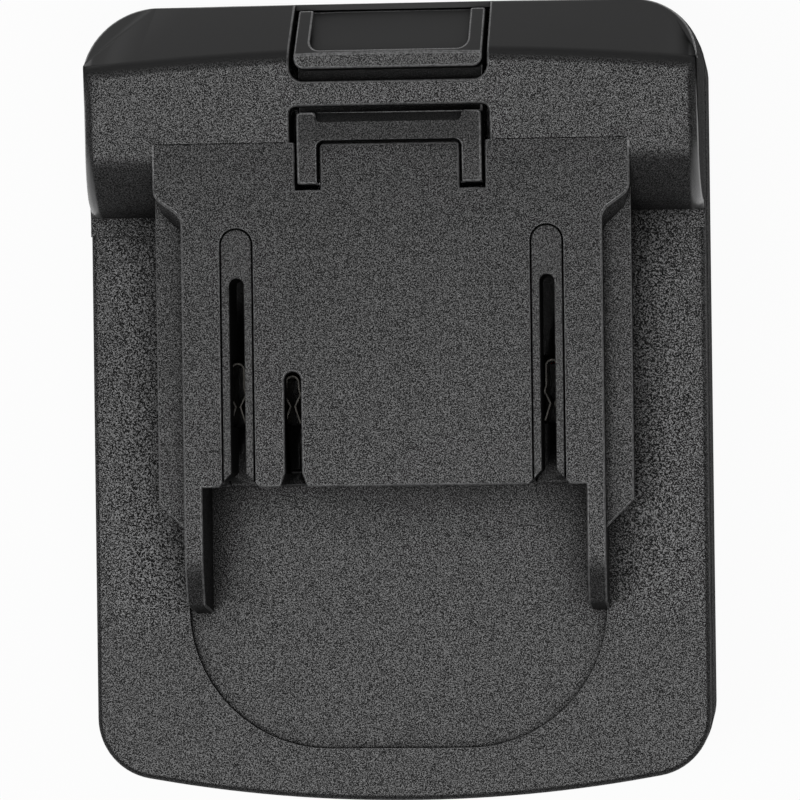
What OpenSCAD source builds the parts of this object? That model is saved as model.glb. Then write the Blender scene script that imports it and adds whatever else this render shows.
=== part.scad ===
// Slide-on battery adapter for a power tool.
// The top carries the tool's rail, its terminal slots and a sprung latch.
// The underside is a channel that a battery slides into from the head end.
// X runs across the part, Y runs from the tail to the head, Z is up.
// The origin is under the middle of the part, where it stands.

/* [Overall] */
// Width across the lower housing
body_w = 75; // [66:0.5:90]
// Length from the tail to the front of the head
body_l = 96.6; // [90:0.1:118]
// Height of the lower housing, up to the seam
socket_h = 19; // [18:0.5:24]
// Height of the upper housing from the seam to the deck
skirt_h = 8; // [7:0.5:12]
// Wall thickness of both housings
wall = 2.2; // [1.6:0.1:2.8]
// Gap between pieces that are put together by hand
fit_gap = 0.2; // [0.1:0.05:0.4]
// How far the upper housing stands back from the lower one at the seam
seam_step = 0.15; // [0:0.05:0.5]
// Radius of the tail's long arc
tail_r = 173; // [120:1:300]
// Radius of the tail corners
tail_corner_r = 7.5; // [4:0.5:10]

/* [Head] */
// Height of the crest above the deck
head_rise = 9.8; // [9.5:0.1:12]
// Length of the head from its front to the rail platform
head_l = 17.1; // [16.5:0.1:21]
// Length of the head's rounded back, beside the platform
head_back_l = 8.4; // [6:0.2:10]
// Radius of the rounded back
head_back_r = 8.4; // [6:0.1:8.5]
// Slope of the back where it leaves the top, in degrees
head_back_pitch = 8; // [7.5:0.1:12]
// Radius of the soft bend between the top and the back
head_knee_r = 25; // [15:1:30]
// Slope of the top behind the crest, in degrees
head_top_pitch = 5; // [3:0.1:6]
// Plan length of the smooth front slope
slope_run = 6.5; // [6:0.1:8.5]
// Radius of the front slope's sideways bow
slope_bow_r = 460; // [200:5:600]
// Height of the upright lip under the front slope
lip_h = 9.8; // [8:0.1:10.5]
// Thickness of that lip in front of the button
lip_t = 0.7; // [0.6:0.05:1.2]
// Plan radius of the front corners
head_corner_r = 8.4; // [5:0.1:10]
// Draft of the head's sides in degrees
head_draft = 4; // [0:0.1:5]

/* [Rail platform] */
// Height of the platform above the deck
platform_rise = 8.6; // [7.5:0.1:9]
// Length of the platform from the head to its open end
platform_l = 41.2; // [36:0.2:50]
// Width of the neck that the tool's lips slide along
neck_w = 50.5; // [48:0.1:61]
// How far each flange reaches out from the neck
flange_reach = 3.35; // [2.5:0.05:4]
// Drop from the platform's top to the flange
flange_drop = 2.4; // [1.5:0.1:3]
// Thickness of the flange
flange_t = 2.8; // [2:0.1:3.4]
// How far the flanges run on past the open end
flange_tail = 5.3; // [4:0.1:8]
// Thickness of the platform's top plate
plate_t = 2.2; // [1.6:0.1:2.6]
// Length of the wide shoulder behind the head
shoulder_l = 6.3; // [5:0.1:8]
// Length of each arm past the open end
arm_l = 15.4; // [10:0.2:18]
// Thickness of each arm
arm_t = 2.25; // [1.8:0.05:3]
// Length of the sloping tip of each arm
arm_tip_l = 5.8; // [4:0.1:8]
// Drop of the arm along its sloping tip
arm_tip_drop = 1.8; // [1:0.1:4]
// Thickness of the deck
deck_t = 2.4; // [2:0.1:3]
// Depth of the recess between the arms
recess_depth = 0.8; // [0.4:0.1:1.2]
// Corner radius of the recess
recess_r = 17; // [8:0.5:20]
// Margin between the recess and the tail
recess_margin = 6.4; // [5:0.2:10]
// Height of the small step in front of the head's back
deck_step = 0.3; // [0.1:0.05:0.5]
// Length of that step
deck_step_l = 2.2; // [1:0.1:4]

/* [Terminal slots] */
// Spacing of the two power slots
slot_pitch = 37.2; // [34:0.1:38]
// Width of a power slot
slot_w = 1.7; // [1.4:0.05:2.1]
// Length of a power slot
slot_l = 25; // [20:0.5:28]
// Depth of the slots below the platform
slot_depth = 7.1; // [6:0.1:7.5]
// Width of the rounded fin round a power slot
fin_w = 3.7; // [3.2:0.1:4.4]
// Length of the fin
fin_l = 30.9; // [27:0.1:33]
// Gap round the fin
fin_gap = 0.15; // [0.1:0.05:0.3]
// Mouth width of a power slot
mouth_w = 4.9; // [4.4:0.1:6]
// Length of the tapered mouth
mouth_l = 1.7; // [1:0.1:2.5]
// Place of the signal slot across the platform
signal_x = -12; // [-13:0.1:-10]
// Width of the signal slot
signal_w = 2; // [1.6:0.1:2.4]
// Length of the signal slot
signal_l = 13.8; // [10:0.2:16]
// Mouth width of the signal slot
signal_mouth_w = 3.2; // [2.6:0.1:4]

/* [Latch] */
// Width of the hook over its legs
hook_w = 22.1; // [18:0.1:27]
// Width of each leg
hook_leg_w = 2.35; // [2:0.05:3]
// Length of the legs behind the crossbar
hook_leg_l = 5.2; // [4:0.1:6]
// Length of the crossbar along the slide
hook_bar_l = 3.35; // [2.6:0.05:4]
// Height of the hook above the platform
hook_rise = 1; // [0.8:0.1:3]
// Height of the leg ends above the platform
hook_toe_rise = 0.5; // [0.2:0.1:1]
// Width of the button beyond the hook's width
button_extra_w = 0.46; // [0:0.02:1]
// Gap at the button's sides
button_gap = 0.57; // [0.3:0.01:0.8]
// Open length behind the button
button_slot_l = 1.5; // [1:0.1:2]
// Length of the button's top behind the crest
button_top_l = 1.9; // [1:0.1:2]
// Width of the finger scoop
scoop_w = 19; // [15:0.5:20.5]
// Depth of the finger scoop
scoop_depth = 1.2; // [0.6:0.1:1.6]
// Travel of the latch, straight down
latch_travel = 3.5; // [3:0.1:3.8]
// Wire thickness of the latch springs
spring_wire = 0.6; // [0.4:0.05:0.7]
// Middle diameter of the latch springs
spring_d = 4.6; // [4:0.1:5]
// Turns of each latch spring
spring_turns = 7; // [5:0.5:8]
// Distance between the two springs
spring_pitch = 12; // [9:0.5:14]

/* [Battery socket] */
// Opening between the two lower lips
channel_w = 57; // [50:0.5:60]
// Height of the channel
channel_h = 13; // [12:0.5:14]
// Depth of each side groove
groove_reach = 5; // [3:0.1:5.5]
// Height of each side groove
groove_h = 5; // [4:0.1:5.5]
// Thickness of the lower lips
rail_lip_t = 3; // [2.4:0.1:3.6]
// Length of the tail behind the channel
channel_tail = 8.4; // [8:0.1:10]
// Width of the battery latch's pocket
strike_w = 18; // [12:0.5:22]
// Length of that pocket
strike_l = 4.5; // [4:0.1:6]
// Depth of that pocket
strike_depth = 2.5; // [1.5:0.1:3]

/* [Terminals and wires] */
// Spacing of the two power blades
blade_pitch = 32; // [26:0.1:39]
// Place of the signal blade across the socket
signal_blade_x = -6; // [-10:0.5:-4]
// Thickness of the blades
blade_t = 0.8; // [0.6:0.05:1]
// Height of the blades
blade_h = 5; // [4:0.1:6]
// Length of the blades in front of their holder
blade_l = 14; // [10:0.5:16]
// Sheet thickness of the clips
clip_t = 0.3; // [0.3:0.05:0.6]
// Height of the clips' leaves
clip_h = 6; // [4:0.1:6.2]
// Diameter of the power wires
power_wire_d = 2.4; // [1.6:0.1:2.8]
// Diameter of the signal wire
signal_wire_d = 1.4; // [1:0.1:1.8]

/* [Screws] */
// Thread diameter of the case screws
case_screw_d = 3; // [2.5:0.1:3.2]
// Thread diameter of the small inner screws
small_screw_d = 2.4; // [2:0.1:2.6]

/* [Hidden] */

// Smoothness of turned faces, and points along a rounded corner
$fn = 64;
corner_steps = 14;
// Amount by which a cut runs past the face it opens
over = 1;
// A length that is sure to pass the whole part
far = 200;
// Gap between pieces that lie on each other
rest_gap = 0.05;

// Colours of the pieces
black_plastic = [0.10, 0.10, 0.11];
block_plastic = [0.13, 0.13, 0.14];
insulator = [0.20, 0.20, 0.21];
nickel = [0.76, 0.75, 0.72];
steel = [0.55, 0.56, 0.58];
red_wire = [0.70, 0.08, 0.07];
black_wire = [0.06, 0.06, 0.06];
yellow_wire = [0.85, 0.70, 0.12];

// Main heights
seam_z = socket_h;
deck_z = seam_z + skirt_h;
foot_z = deck_z + deck_step;
platform_z = deck_z + platform_rise;
plate_z = platform_z - plate_t;
crest_z = deck_z + head_rise;
lip_z = seam_z + lip_h;
flange_top_z = platform_z - flange_drop;
flange_z = flange_top_z - flange_t;
hook_z = platform_z + hook_rise;
floor_t = 2;
floor_z = channel_h + floor_t;
deck_under_z = deck_z - deck_t;

// Main places along the part
front_y = body_l / 2;
tail_y = -body_l / 2;
crest_y = front_y - slope_run;
junction_y = front_y - head_l;
head_back_y = junction_y - head_back_l;
platform_end_y = junction_y - platform_l;
arm_end_y = platform_end_y - arm_l;
end_wall_t = 1.8;
channel_end_y = tail_y + channel_tail;

// Main widths
upper_w = body_w - 2 * seam_step;
flange_w = neck_w + 2 * flange_reach;
neck_in_w = neck_w - 2 * arm_t;
groove_w = channel_w + 2 * groove_reach;
recess_extra = 0.3;
recess_w = neck_w + recess_extra;
// The recess lies a little to the left of the middle line
recess_shift = -0.45;
// How far the round of a front corner stands proud of its sides
corner_bulge = 0.02;
// How far the lip in front of the button stays below the slope's foot
lip_drop = 0.8;

// Bend in the head's side view, where the line back from the crest meets the line up from the platform
top_grade = tan(head_top_pitch);
back_grade = tan(head_back_pitch);
knee_drop = crest_z - platform_z - crest_y * top_grade + junction_y * back_grade;
head_knee_y = knee_drop / (back_grade - top_grade);
// Lean of the front slope from upright
slope_lean = atan2(slope_run, crest_z - lip_z);

// Rounding and lean of the arms' tips
arm_bend_r = 10;
arm_end_r = 1;
arm_end_lean = 1.2;

// Shoulder curve of the platform
shoulder_y = junction_y - shoulder_l;
shoulder_angle = 55;
shoulder_r = 1.8;
shoulder_in_y = shoulder_y - flange_reach / tan(shoulder_angle);

// Latch
button_w = hook_w + button_extra_w;
button_open_w = button_w + 2 * button_gap;
button_back_y = crest_y - button_top_l;
button_open_y = button_back_y - button_slot_l;
button_front_y = front_y - lip_t - fit_gap;
button_lap = 1.5;
button_room = 0.6;
button_z = lip_z - button_lap;
button_overlap = 2;
button_corner_r = 1.2;
button_sink = 0.1;
button_open_r = 1.7;
lip_pocket_z = button_z - latch_travel - button_room;
scoop_corner_r = 1.3;
scoop_start = 0.3;
bridge_l = 2.95;
bridge_y = button_open_y - bridge_l;
hook_gap = 0.35;
bar_gap = 0.75;
bar_front_y = bridge_y - bar_gap;
bar_back_y = bar_front_y - hook_bar_l;
leg_end_y = bar_back_y - hook_leg_l;
toe_gap = 0.65;
leg_pocket_y = leg_end_y - toe_gap;
hook_open_w = hook_w + 2 * hook_gap;
head_gap = 0.6;
head_open_w = hook_open_w + 2 * head_gap;
tongue_w = hook_w - 2 * hook_leg_w - 2 * hook_gap;
tongue_end_y = bar_back_y - hook_gap;
latch_base_t = 2.3;
latch_top_z = plate_z - fit_gap;
latch_base_z = latch_top_z - latch_base_t;
guide_t = 1.6;
guide_w = hook_open_w + 2 * guide_t;
guide_lift = 5;
guide_z = seam_z + guide_lift;
hook_chamfer = 1.2;
hook_chamfer_h = 0.05;
hook_chamfer_foot = 0.1;

// Latch springs, seated on the floor and in pockets of the latch
spring_shift = 1.2;
spring_y = bridge_y + spring_shift;
spring_seat = 0.1;
spring_room = 0.4;
spring_boss_wall = 0.8;
spring_boss_lift = 5.5;
spring_cap = 0.2;
spring_bottom_z = floor_z + spring_seat;
spring_pocket_d = spring_d + spring_wire + 2 * spring_room;
spring_boss_d = spring_pocket_d + 2 * spring_boss_wall;
spring_boss_z = floor_z + latch_travel + spring_boss_lift;
spring_pocket_z = latch_base_z - spring_cap;
spring_top_z = spring_pocket_z - spring_seat;
spring_post_d = spring_d - spring_wire - 2 * spring_room;
spring_post_h = 4;
spring_rings = 12;
spring_sides = 6;

// Terminal block under the platform
block_w = neck_in_w - 2 * fit_gap;
block_top_z = plate_z - fit_gap;
block_depth = 11.6;
block_back_wall = 1.4;
block_z = platform_z - block_depth;
block_front_y = platform_end_y + end_wall_t + fit_gap;
block_back_y = platform_end_y + fin_l + block_back_wall;
slot_floor_z = platform_z - slot_depth;
fin_floor_t = 1.2;
fin_top_z = platform_z - rest_gap;
fin_floor_z = slot_floor_z - fin_floor_t;
fin_x = slot_pitch / 2;
slot_end_y = platform_end_y + slot_l;
signal_end_y = platform_end_y + signal_l;
retainer_t = 2;
retainer_z = block_z - retainer_t - rest_gap;

// Clips: a folded strip with two leaves that pinch a blade
clip_sink = 3.2;
clip_top_z = platform_z - clip_sink;
clip_z = clip_top_z - clip_h;
clip_pinch_l = 9.65;
clip_flare_l = 2.1;
clip_bend_l = 1.4;
clip_neck_l = 0.8;
clip_l = 15;
signal_clip_l = 13.4;
clip_pinch_y = platform_end_y + clip_pinch_l;
clip_flare_y = clip_pinch_y - clip_flare_l;
clip_back_y = platform_end_y + clip_l;
signal_back_y = platform_end_y + signal_clip_l;
clip_fold_r = 0.9;
clip_pinch = 0.12;
clip_flare = 0.95;
clip_room = 0.3;
// The clips sit a little outwards of their slots
clip_shift = 0.35;
clip_x = fin_x + clip_shift;
signal_clip_x = signal_x - clip_shift;
tag_w = 2.2;
tag_l = 2.6;
tag_z = retainer_z - tag_l;

// Screws of the terminal block, on the middle line
block_screw_l = [6, 26];
block_screw_y = [for (l = block_screw_l) platform_end_y + l];
block_boss_d = 6;
block_boss_lift = 3;
block_boss_z = block_z + block_boss_lift;
block_screw_grip = 4;
boss_cap = 1.2;

// Case screws through the channel's ceiling
case_head_d = 5.6;
case_head_h = 2;
case_boss_d = 7.4;
case_boss_lift = 3;
case_boss_z = floor_z + case_boss_lift;
case_boss_gap = 0.3;
case_post_wall = 0.5;
case_recess = 2.6;
case_screw_l = 8;
case_screw_max = channel_w / 2 - case_head_d / 2 - wall / 2;
case_screw_x = [
    min(neck_in_w / 2 - case_boss_d / 2 - case_boss_gap, case_screw_max),
    min((neck_w - arm_t) / 2, case_screw_max)
];
case_screw_inset = [2, 1.6];
case_screw_y = [junction_y - case_screw_inset[0], arm_end_y + case_screw_inset[1]];
screw_room = 0.25;
seat_gap = 0.02;
// How much narrower than its thread a screw's hole is, and its shank in turn
thread_bite = 0.5;
shank_gap = 0.05;
small_head_d = 4.4;
small_head_h = 1.6;
holder_head_d = 4.2;
holder_head_h = 1.3;
holder_screw_l = 8;
// Size of the cross recess against the screw's head
cross_l = 0.55;
cross_w = 0.14;

// Blade holder at the tail of the channel
holder_margin = 6;
holder_inset = 1.5;
holder_w = blade_pitch + 2 * holder_margin;
holder_y = channel_end_y + holder_inset;
holder_l = 6;
holder_z = 5.4;
holder_skin = 1.2;
holder_flange = 2;
holder_flange_t = 1.6;
holder_ear_d = 4.8;
holder_ear_r = holder_ear_d / 2 - fit_gap;
holder_ear_x = 13;
tail_wall_t = 1.8;
holder_ear_y = tail_at(holder_ear_x + holder_ear_r, wall) + fit_gap + holder_ear_r;
blade_z = holder_z + holder_skin;
blade_x = blade_pitch / 2;
blade_tag_l = 2.4;
blade_tag_z = floor_z + holder_flange_t + tag_l;
blade_fit = 0.03;
blade_inset = 1;
blade_nose = 0.8;
blade_back_y = holder_y + blade_inset;

// Tongue that lines the two housings up
tongue_t = 0.9;
tongue_h = 0.8;

// Strike pocket for the battery's latch
strike_inset = 3;
strike_wall = 1.5;
strike_y = front_y - strike_inset;
strike_half = strike_w / 2;
strike_top_z = channel_h + strike_depth;
// Flare of the channel where the battery enters
entry_flare = 1.6;
entry_l = 3.2;

// Wire routes from clip tags to blade tags: share of the way across and along, and height above the floor
wire_sides = 8;
wire_steps = 4;
wire_gap = 0.1;
wire_end_y = blade_back_y + blade_tag_l + wire_gap;
wire_course = [
    [0, 0, 5.5], [0, 0.045, 5.4], [0.03, 0.16, 4], [0.2, 0.34, 3.2],
    [0.5, 0.54, 3.1], [0.85, 0.74, 3.1], [1, 0.9, 3.2], [1, 1, 3.2]
];
// The wires pass inside the rear screw posts
wire_pass = [0.1, 0.95];
wire_limit = case_screw_x[1] - case_boss_d / 2 - case_post_wall - power_wire_d / 2 - wire_gap;
function wire_passes(c) = c[1] > wire_pass[0] && c[1] < wire_pass[1];
function wire_route(x0, back_y, x1) =
    let (
        y0 = back_y - clip_t - wire_gap
    )
    [for (c = wire_course)
        let (
            free_x = x0 + (x1 - x0) * c[0],
            x = wire_passes(c) ? sign(free_x) * min(abs(free_x), wire_limit) : free_x
        )
        [x, y0 + (wire_end_y - y0) * c[1], floor_z + c[2]]];

// Points of a rounded corner at b, between a and c
function unit(v) = v / norm(v);
function turn(a) = a > 180 ? a - 360 : a < -180 ? a + 360 : a;
function arc_at(m, r, from, sweep) = [
    for (k = [0:corner_steps])
        let (a = from + sweep * k / corner_steps)
        m + r * [cos(a), sin(a)]
];
function corner(a, b, c, r) =
    let (
        u = unit(a - b),
        v = unit(c - b),
        half = acos(u * v) / 2,
        m = b + unit(u + v) * r / sin(half),
        s = b + u * r / tan(half) - m,
        e = b + v * r / tan(half) - m,
        from = atan2(s[1], s[0])
    )
    arc_at(m, r, from, turn(atan2(e[1], e[0]) - from));

// Outline through points [x, y, radius], with each corner rounded to its radius
function flat(p) = [p[0], p[1]];
function rounded(pts) = [
    for (i = [0:len(pts) - 1])
        let (
            n = len(pts),
            a = flat(pts[(i + n - 1) % n]),
            b = flat(pts[i]),
            c = flat(pts[(i + 1) % n])
        )
        each (pts[i][2] > 0 ? corner(a, b, c, pts[i][2]) : [b])
];

// Full outline from its right half, listed from the front to the tail
function both_sides(right) = concat(
    right, [for (i = [len(right) - 1:-1:0]) if (right[i][0] > 0) [-right[i][0], right[i][1], right[i][2]]]
);

// Plan of a housing of width w, drawn in by i, with square front corners
function tail_at(x, i) = tail_y + tail_r - sqrt(pow(tail_r - i, 2) - x * x);
function plan(w, i) =
    let (
        half = w / 2 - i,
        bend = half - tail_corner_r,
        lean = asin(bend / (tail_r - i)),
        corner_y = tail_at(bend, i) + (half - bend) * tan(lean)
    )
    rounded(both_sides(concat(
        [[half, front_y - i, 0], [half, corner_y, tail_corner_r - i]],
        [for (k = [0:corner_steps]) let (x = bend * (1 - k / corner_steps)) [x, tail_at(x, i), 0]]
    )));

// Ribbon of thickness t along a bent path
function side_of(p, k) =
    let (
        a = p[max(k - 1, 0)],
        b = p[min(k + 1, len(p) - 1)],
        d = unit(b - a)
    )
    [-d[1], d[0]];
function ribbon(p, t) = concat(
    [for (k = [0:len(p) - 1]) p[k] + side_of(p, k) * t / 2],
    [for (k = [len(p) - 1:-1:0]) p[k] - side_of(p, k) * t / 2]
);

// Smooth route through hand-set points
function spline(p, k, t) =
    let (
        a = p[max(k - 1, 0)],
        b = p[k],
        c = p[k + 1],
        d = p[min(k + 2, len(p) - 1)]
    )
    0.5 * (2 * b + (c - a) * t + (2 * a - 5 * b + 4 * c - d) * t * t + (3 * b - a - 3 * c + d) * t * t * t);
function smooth(p, n) = concat(
    [for (k = [0:len(p) - 2]) for (j = [0:n - 1]) spline(p, k, j / n)], [p[len(p) - 1]]
);

// Points of the latch spring's wire
function spring_path(x) =
    let (
        steps = spring_turns * spring_rings,
        low = spring_bottom_z + spring_wire / 2,
        high = spring_top_z - spring_wire / 2
    )
    [for (k = [0:steps])
        let (a = 360 * k / spring_rings)
        [x + spring_d / 2 * cos(a), spring_y + spring_d / 2 * sin(a), low + (high - low) * k / steps]];

// Least gap of the spring to itself, from points over half a turn apart
function self_gap(p) = min([
    for (i = [0:len(p) - 1])
        for (j = [i + spring_rings / 2:1:len(p) - 1])
            norm(p[i] - p[j])
]) - spring_wire;

// Solid between two heights
module plate(z0, z1) {
    translate([0, 0, z0])
        linear_extrude(z1 - z0)
            children();
}

// Profile drawn in Y and Z, run across the part
module across(x0, x1) {
    translate([x0, 0, 0])
        rotate([90, 0, 90])
            linear_extrude(x1 - x0)
                children();
}

// Box from two opposite corners
module box(a, b) {
    translate(a)
        cube(b - a);
}

// Same shape on both sides
module mirrored() {
    children();
    mirror([1, 0, 0])
        children();
}

// Upright round bar
module bar(x, y, z0, z1, d) {
    translate([x, y, z0])
        cylinder(h = z1 - z0, d = d);
}

// Tube along a route
module tube(path, d, sides) {
    n = len(path);
    rings = [
        for (k = [0:n - 1])
            let (
                t = unit(path[min(k + 1, n - 1)] - path[max(k - 1, 0)]),
                u = unit(cross(t, [1, 0, 0.001])),
                v = cross(t, u)
            )
            each [
                for (s = [0:sides - 1])
                    let (a = 360 * s / sides)
                    path[k] + d / 2 * (u * cos(a) + v * sin(a))
            ]
    ];
    walls = [
        for (k = [0:n - 2]) for (s = [0:sides - 1])
            let (
                a = k * sides + s,
                b = k * sides + (s + 1) % sides
            )
            each [[a, b, a + sides], [b, b + sides, a + sides]]
    ];
    first = [for (s = [1:sides - 2]) [0, s + 1, s]];
    last = [for (s = [1:sides - 2]) [(n - 1) * sides, (n - 1) * sides + s, (n - 1) * sides + s + 1]];
    polyhedron(rings, concat(walls, first, last));
}

// Everything behind the bowed front slope, drawn in by i
module behind_slope(i) {
    translate([0, crest_y, crest_z])
        rotate([slope_lean, 0, 0])
            translate([0, -slope_bow_r, 0])
                cylinder(h = far, r = slope_bow_r - i, center = true, $fn = 128);
}

// Block of the head with drafted sides, drawn in by i
module head_block(i, z0, back) {
    half = upper_w / 2 - i;
    difference() {
        box([-half, back, z0], [half, front_y - i, crest_z + over]);
        mirrored()
            translate([half, 0, deck_z])
                rotate([0, -head_draft, 0])
                    translate([0, -far / 2, 0])
                        cube([far, far, far]);
    }
}

// What rounds off the front corners of a housing of width w, drawn in by i
module front_corner_cuts(w, i, z0, z1) {
    r = head_corner_r - i;
    round_r = r + corner_bulge;
    top = crest_z + 2 * over;
    taper = (top - deck_z) * tan(head_draft);
    mirrored()
        translate([w / 2 - i - r, front_y - i - r, 0])
            difference() {
                box([0, 0, z0], [r + over, r + over, z1]);
                bar(0, 0, z0 - over, deck_z, 2 * round_r);
                translate([0, 0, deck_z])
                    cylinder(h = top - deck_z, r1 = round_r, r2 = round_r - taper);
            }
}

// What bevels the hollow's front corners, so that the wall stays as thick there
module hollow_corner_cuts() {
    leg = (head_corner_r - wall) * (2 - sqrt(2));
    mirrored()
        translate([upper_w / 2 - wall, front_y - wall - leg, seam_z - 2 * over])
            rotate([0, 0, 45])
                cube([far, far, far]);
}

// Plate with a housing's plan of width w, drawn in by i
module rounded_plate(w, i, z0, z1) {
    difference() {
        plate(z0, z1)
            polygon(plan(w, i));
        front_corner_cuts(w, i, z0 - over, z1 + over);
    }
}

// The raised head, drawn in by i, from z0 up
function head_top(y, i) = crest_z + (y - crest_y) * top_grade - i / cos(head_top_pitch);
function head_back(y, i) = platform_z + (y - junction_y) * back_grade - i / cos(head_back_pitch);
module head_form(i, z0) {
    back = head_back_y + i;
    front = front_y + over;
    side = [
        [back, z0, 0], [back, head_back(back, i), head_back_r - i],
        [head_knee_y, head_top(head_knee_y, i), head_knee_r - i],
        [front, head_top(front, i), 0], [front, z0, 0]
    ];
    intersection() {
        head_block(i, z0, head_back_y - over);
        across(-body_w, body_w)
            polygon(rounded(side));
        behind_slope(i);
    }
}

// Platform plan with its shoulders curving in to the neck
module shoulder_plan() {
    polygon(rounded(both_sides([
        [flange_w / 2, junction_y + wall, 0],
        [flange_w / 2, shoulder_y, shoulder_r],
        [neck_w / 2, shoulder_in_y, shoulder_r],
        [neck_w / 2, platform_end_y, 0]
    ])));
}

// Flange plan with its corners cut off at the open end
module flange_plan() {
    polygon([for (p = both_sides([
        [flange_w / 2, junction_y + wall, 0],
        [flange_w / 2, platform_end_y - flange_tail + flange_reach, 0],
        [neck_w / 2, platform_end_y - flange_tail, 0]
    ])) flat(p)]);
}

// Shallow recess between the arms
module recess_plan() {
    translate([recess_shift, 0])
        polygon(rounded(both_sides([
            [recess_w / 2, platform_end_y, 0],
            [recess_w / 2, tail_y + recess_margin, recess_r]
        ])));
}

// One arm, on the right
module arm() {
    tip_z = platform_z - arm_tip_drop;
    across(neck_w / 2 - arm_t, neck_w / 2)
        polygon(rounded([
            [platform_end_y + over, deck_z - recess_depth, 0],
            [platform_end_y + over, platform_z, 0],
            [arm_end_y + arm_tip_l, platform_z, arm_bend_r],
            [arm_end_y + arm_end_lean, tip_z, arm_end_r],
            [arm_end_y, deck_z - recess_depth, 0]
        ]));
}

// Slot plan with a rounded end and a tapered mouth
module slot_plan(x, w, end_y, mouth) {
    translate([x, end_y - w / 2])
        circle(d = w);
    polygon([
        [x - w / 2, end_y - w / 2], [x + w / 2, end_y - w / 2],
        [x + w / 2, platform_end_y + mouth_l], [x + mouth / 2, platform_end_y],
        [x + mouth / 2, platform_end_y - over], [x - mouth / 2, platform_end_y - over],
        [x - mouth / 2, platform_end_y], [x - w / 2, platform_end_y + mouth_l]
    ]);
}

// Fin plan with a rounded end, drawn out by i
module fin_plan(i, y0) {
    end_y = platform_end_y + fin_l;
    translate([fin_x, end_y - fin_w / 2])
        circle(d = fin_w + 2 * i);
    translate([fin_x - fin_w / 2 - i, y0])
        square([fin_w + 2 * i, end_y - fin_w / 2 - y0]);
}

// Three slots, as cuts from the slot floor up
module slot_cuts() {
    plate(slot_floor_z, platform_z + over) {
        slot_plan(fin_x, slot_w, slot_end_y, mouth_w);
        slot_plan(-fin_x, slot_w, slot_end_y, mouth_w);
        slot_plan(signal_x, signal_w, signal_end_y, signal_mouth_w);
    }
}

// Openings for the button and the hook
module latch_openings() {
    plate(lip_z - lip_drop, crest_z + over)
        polygon(rounded(both_sides([
            [button_open_w / 2, front_y + over, 0],
            [button_open_w / 2, button_open_y, button_open_r]
        ])));
    box([-button_open_w / 2, button_open_y, lip_pocket_z],
        [button_open_w / 2, front_y - lip_t, lip_z + over]);
    box([-head_open_w / 2, junction_y, latch_base_z], [head_open_w / 2, bridge_y, crest_z + over]);
    difference() {
        box([-hook_open_w / 2, leg_pocket_y, latch_base_z], [hook_open_w / 2, bridge_y, crest_z + over]);
        box([-tongue_w / 2, leg_pocket_y - over, plate_z], [tongue_w / 2, tongue_end_y, crest_z + 2 * over]);
    }
}

// Screw boss of the upper housing
module upper_boss(x, y, z0, z1, d, thread) {
    difference() {
        bar(x, y, z0, z1, d);
        bar(x, y, z0 - over, z1 - boss_cap, thread - thread_bite);
    }
}

// Deck and skirt of the upper housing
module skirt_form() {
    plate(seam_z, deck_z)
        polygon(plan(upper_w, 0));
    intersection() {
        head_block(0, deck_z - over, head_back_y - deck_step_l);
        plate(deck_z - 2 * over, foot_z)
            translate([-far / 2, -far / 2])
                square([far, far / 2 + head_back_y + wall]);
    }
}

// Outer form of the upper housing
module upper_form() {
    difference() {
        union() {
            intersection() {
                skirt_form();
                behind_slope(0);
            }
            head_form(0, deck_z - over);
        }
        front_corner_cuts(upper_w, 0, seam_z - over, crest_z + over);
    }
    plate(deck_z - over, flange_z)
        translate([-neck_w / 2, platform_end_y])
            square([neck_w, platform_l + wall]);
    plate(flange_z, flange_top_z)
        difference() {
            flange_plan();
            translate([-neck_in_w / 2, platform_end_y - far])
                square([neck_in_w, far]);
        }
    plate(flange_z, platform_z)
        shoulder_plan();
}

// Hollow of the upper housing
module upper_hollow() {
    difference() {
        union() {
            intersection() {
                plate(seam_z - over, deck_under_z)
                    polygon(plan(upper_w, wall));
                behind_slope(wall);
            }
            head_form(wall, deck_under_z - over);
        }
        hollow_corner_cuts();
    }
    box([-neck_in_w / 2, platform_end_y + end_wall_t, seam_z - over],
        [neck_in_w / 2, junction_y + wall, plate_z]);
    mirrored()
        plate(fin_floor_z - fin_gap, platform_z + over)
            fin_plan(fin_gap, platform_end_y - over);
}

module upper_housing() {
    color(black_plastic) {
        difference() {
            union() {
                difference() {
                    upper_form();
                    plate(deck_z - recess_depth, deck_z + over)
                        intersection() {
                            recess_plan();
                            translate([-far / 2, -far])
                                square([far, far + platform_end_y]);
                        }
                    upper_hollow();
                }
                mirrored()
                    arm();
                mirrored() {
                    upper_boss(case_screw_x[0], case_screw_y[0], case_boss_z, plate_z + over,
                        case_boss_d, case_screw_d);
                    upper_boss(case_screw_x[1], case_screw_y[1], case_boss_z, deck_under_z + over,
                        case_boss_d, case_screw_d);
                    box([hook_open_w / 2, leg_pocket_y, guide_z], [guide_w / 2, bridge_y, plate_z + over]);
                }
                for (y = block_screw_y)
                    upper_boss(0, y, block_boss_z, plate_z + over, block_boss_d, small_screw_d);
            }
            slot_cuts();
            latch_openings();
        }
    }
}

// Screw hole with a head recess in the channel's ceiling
module case_hole(x, y) {
    bar(x, y, channel_h - over, channel_h + case_recess, case_head_d + 2 * screw_room);
    bar(x, y, channel_h, case_boss_z + over, case_screw_d + 2 * screw_room);
}

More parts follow.
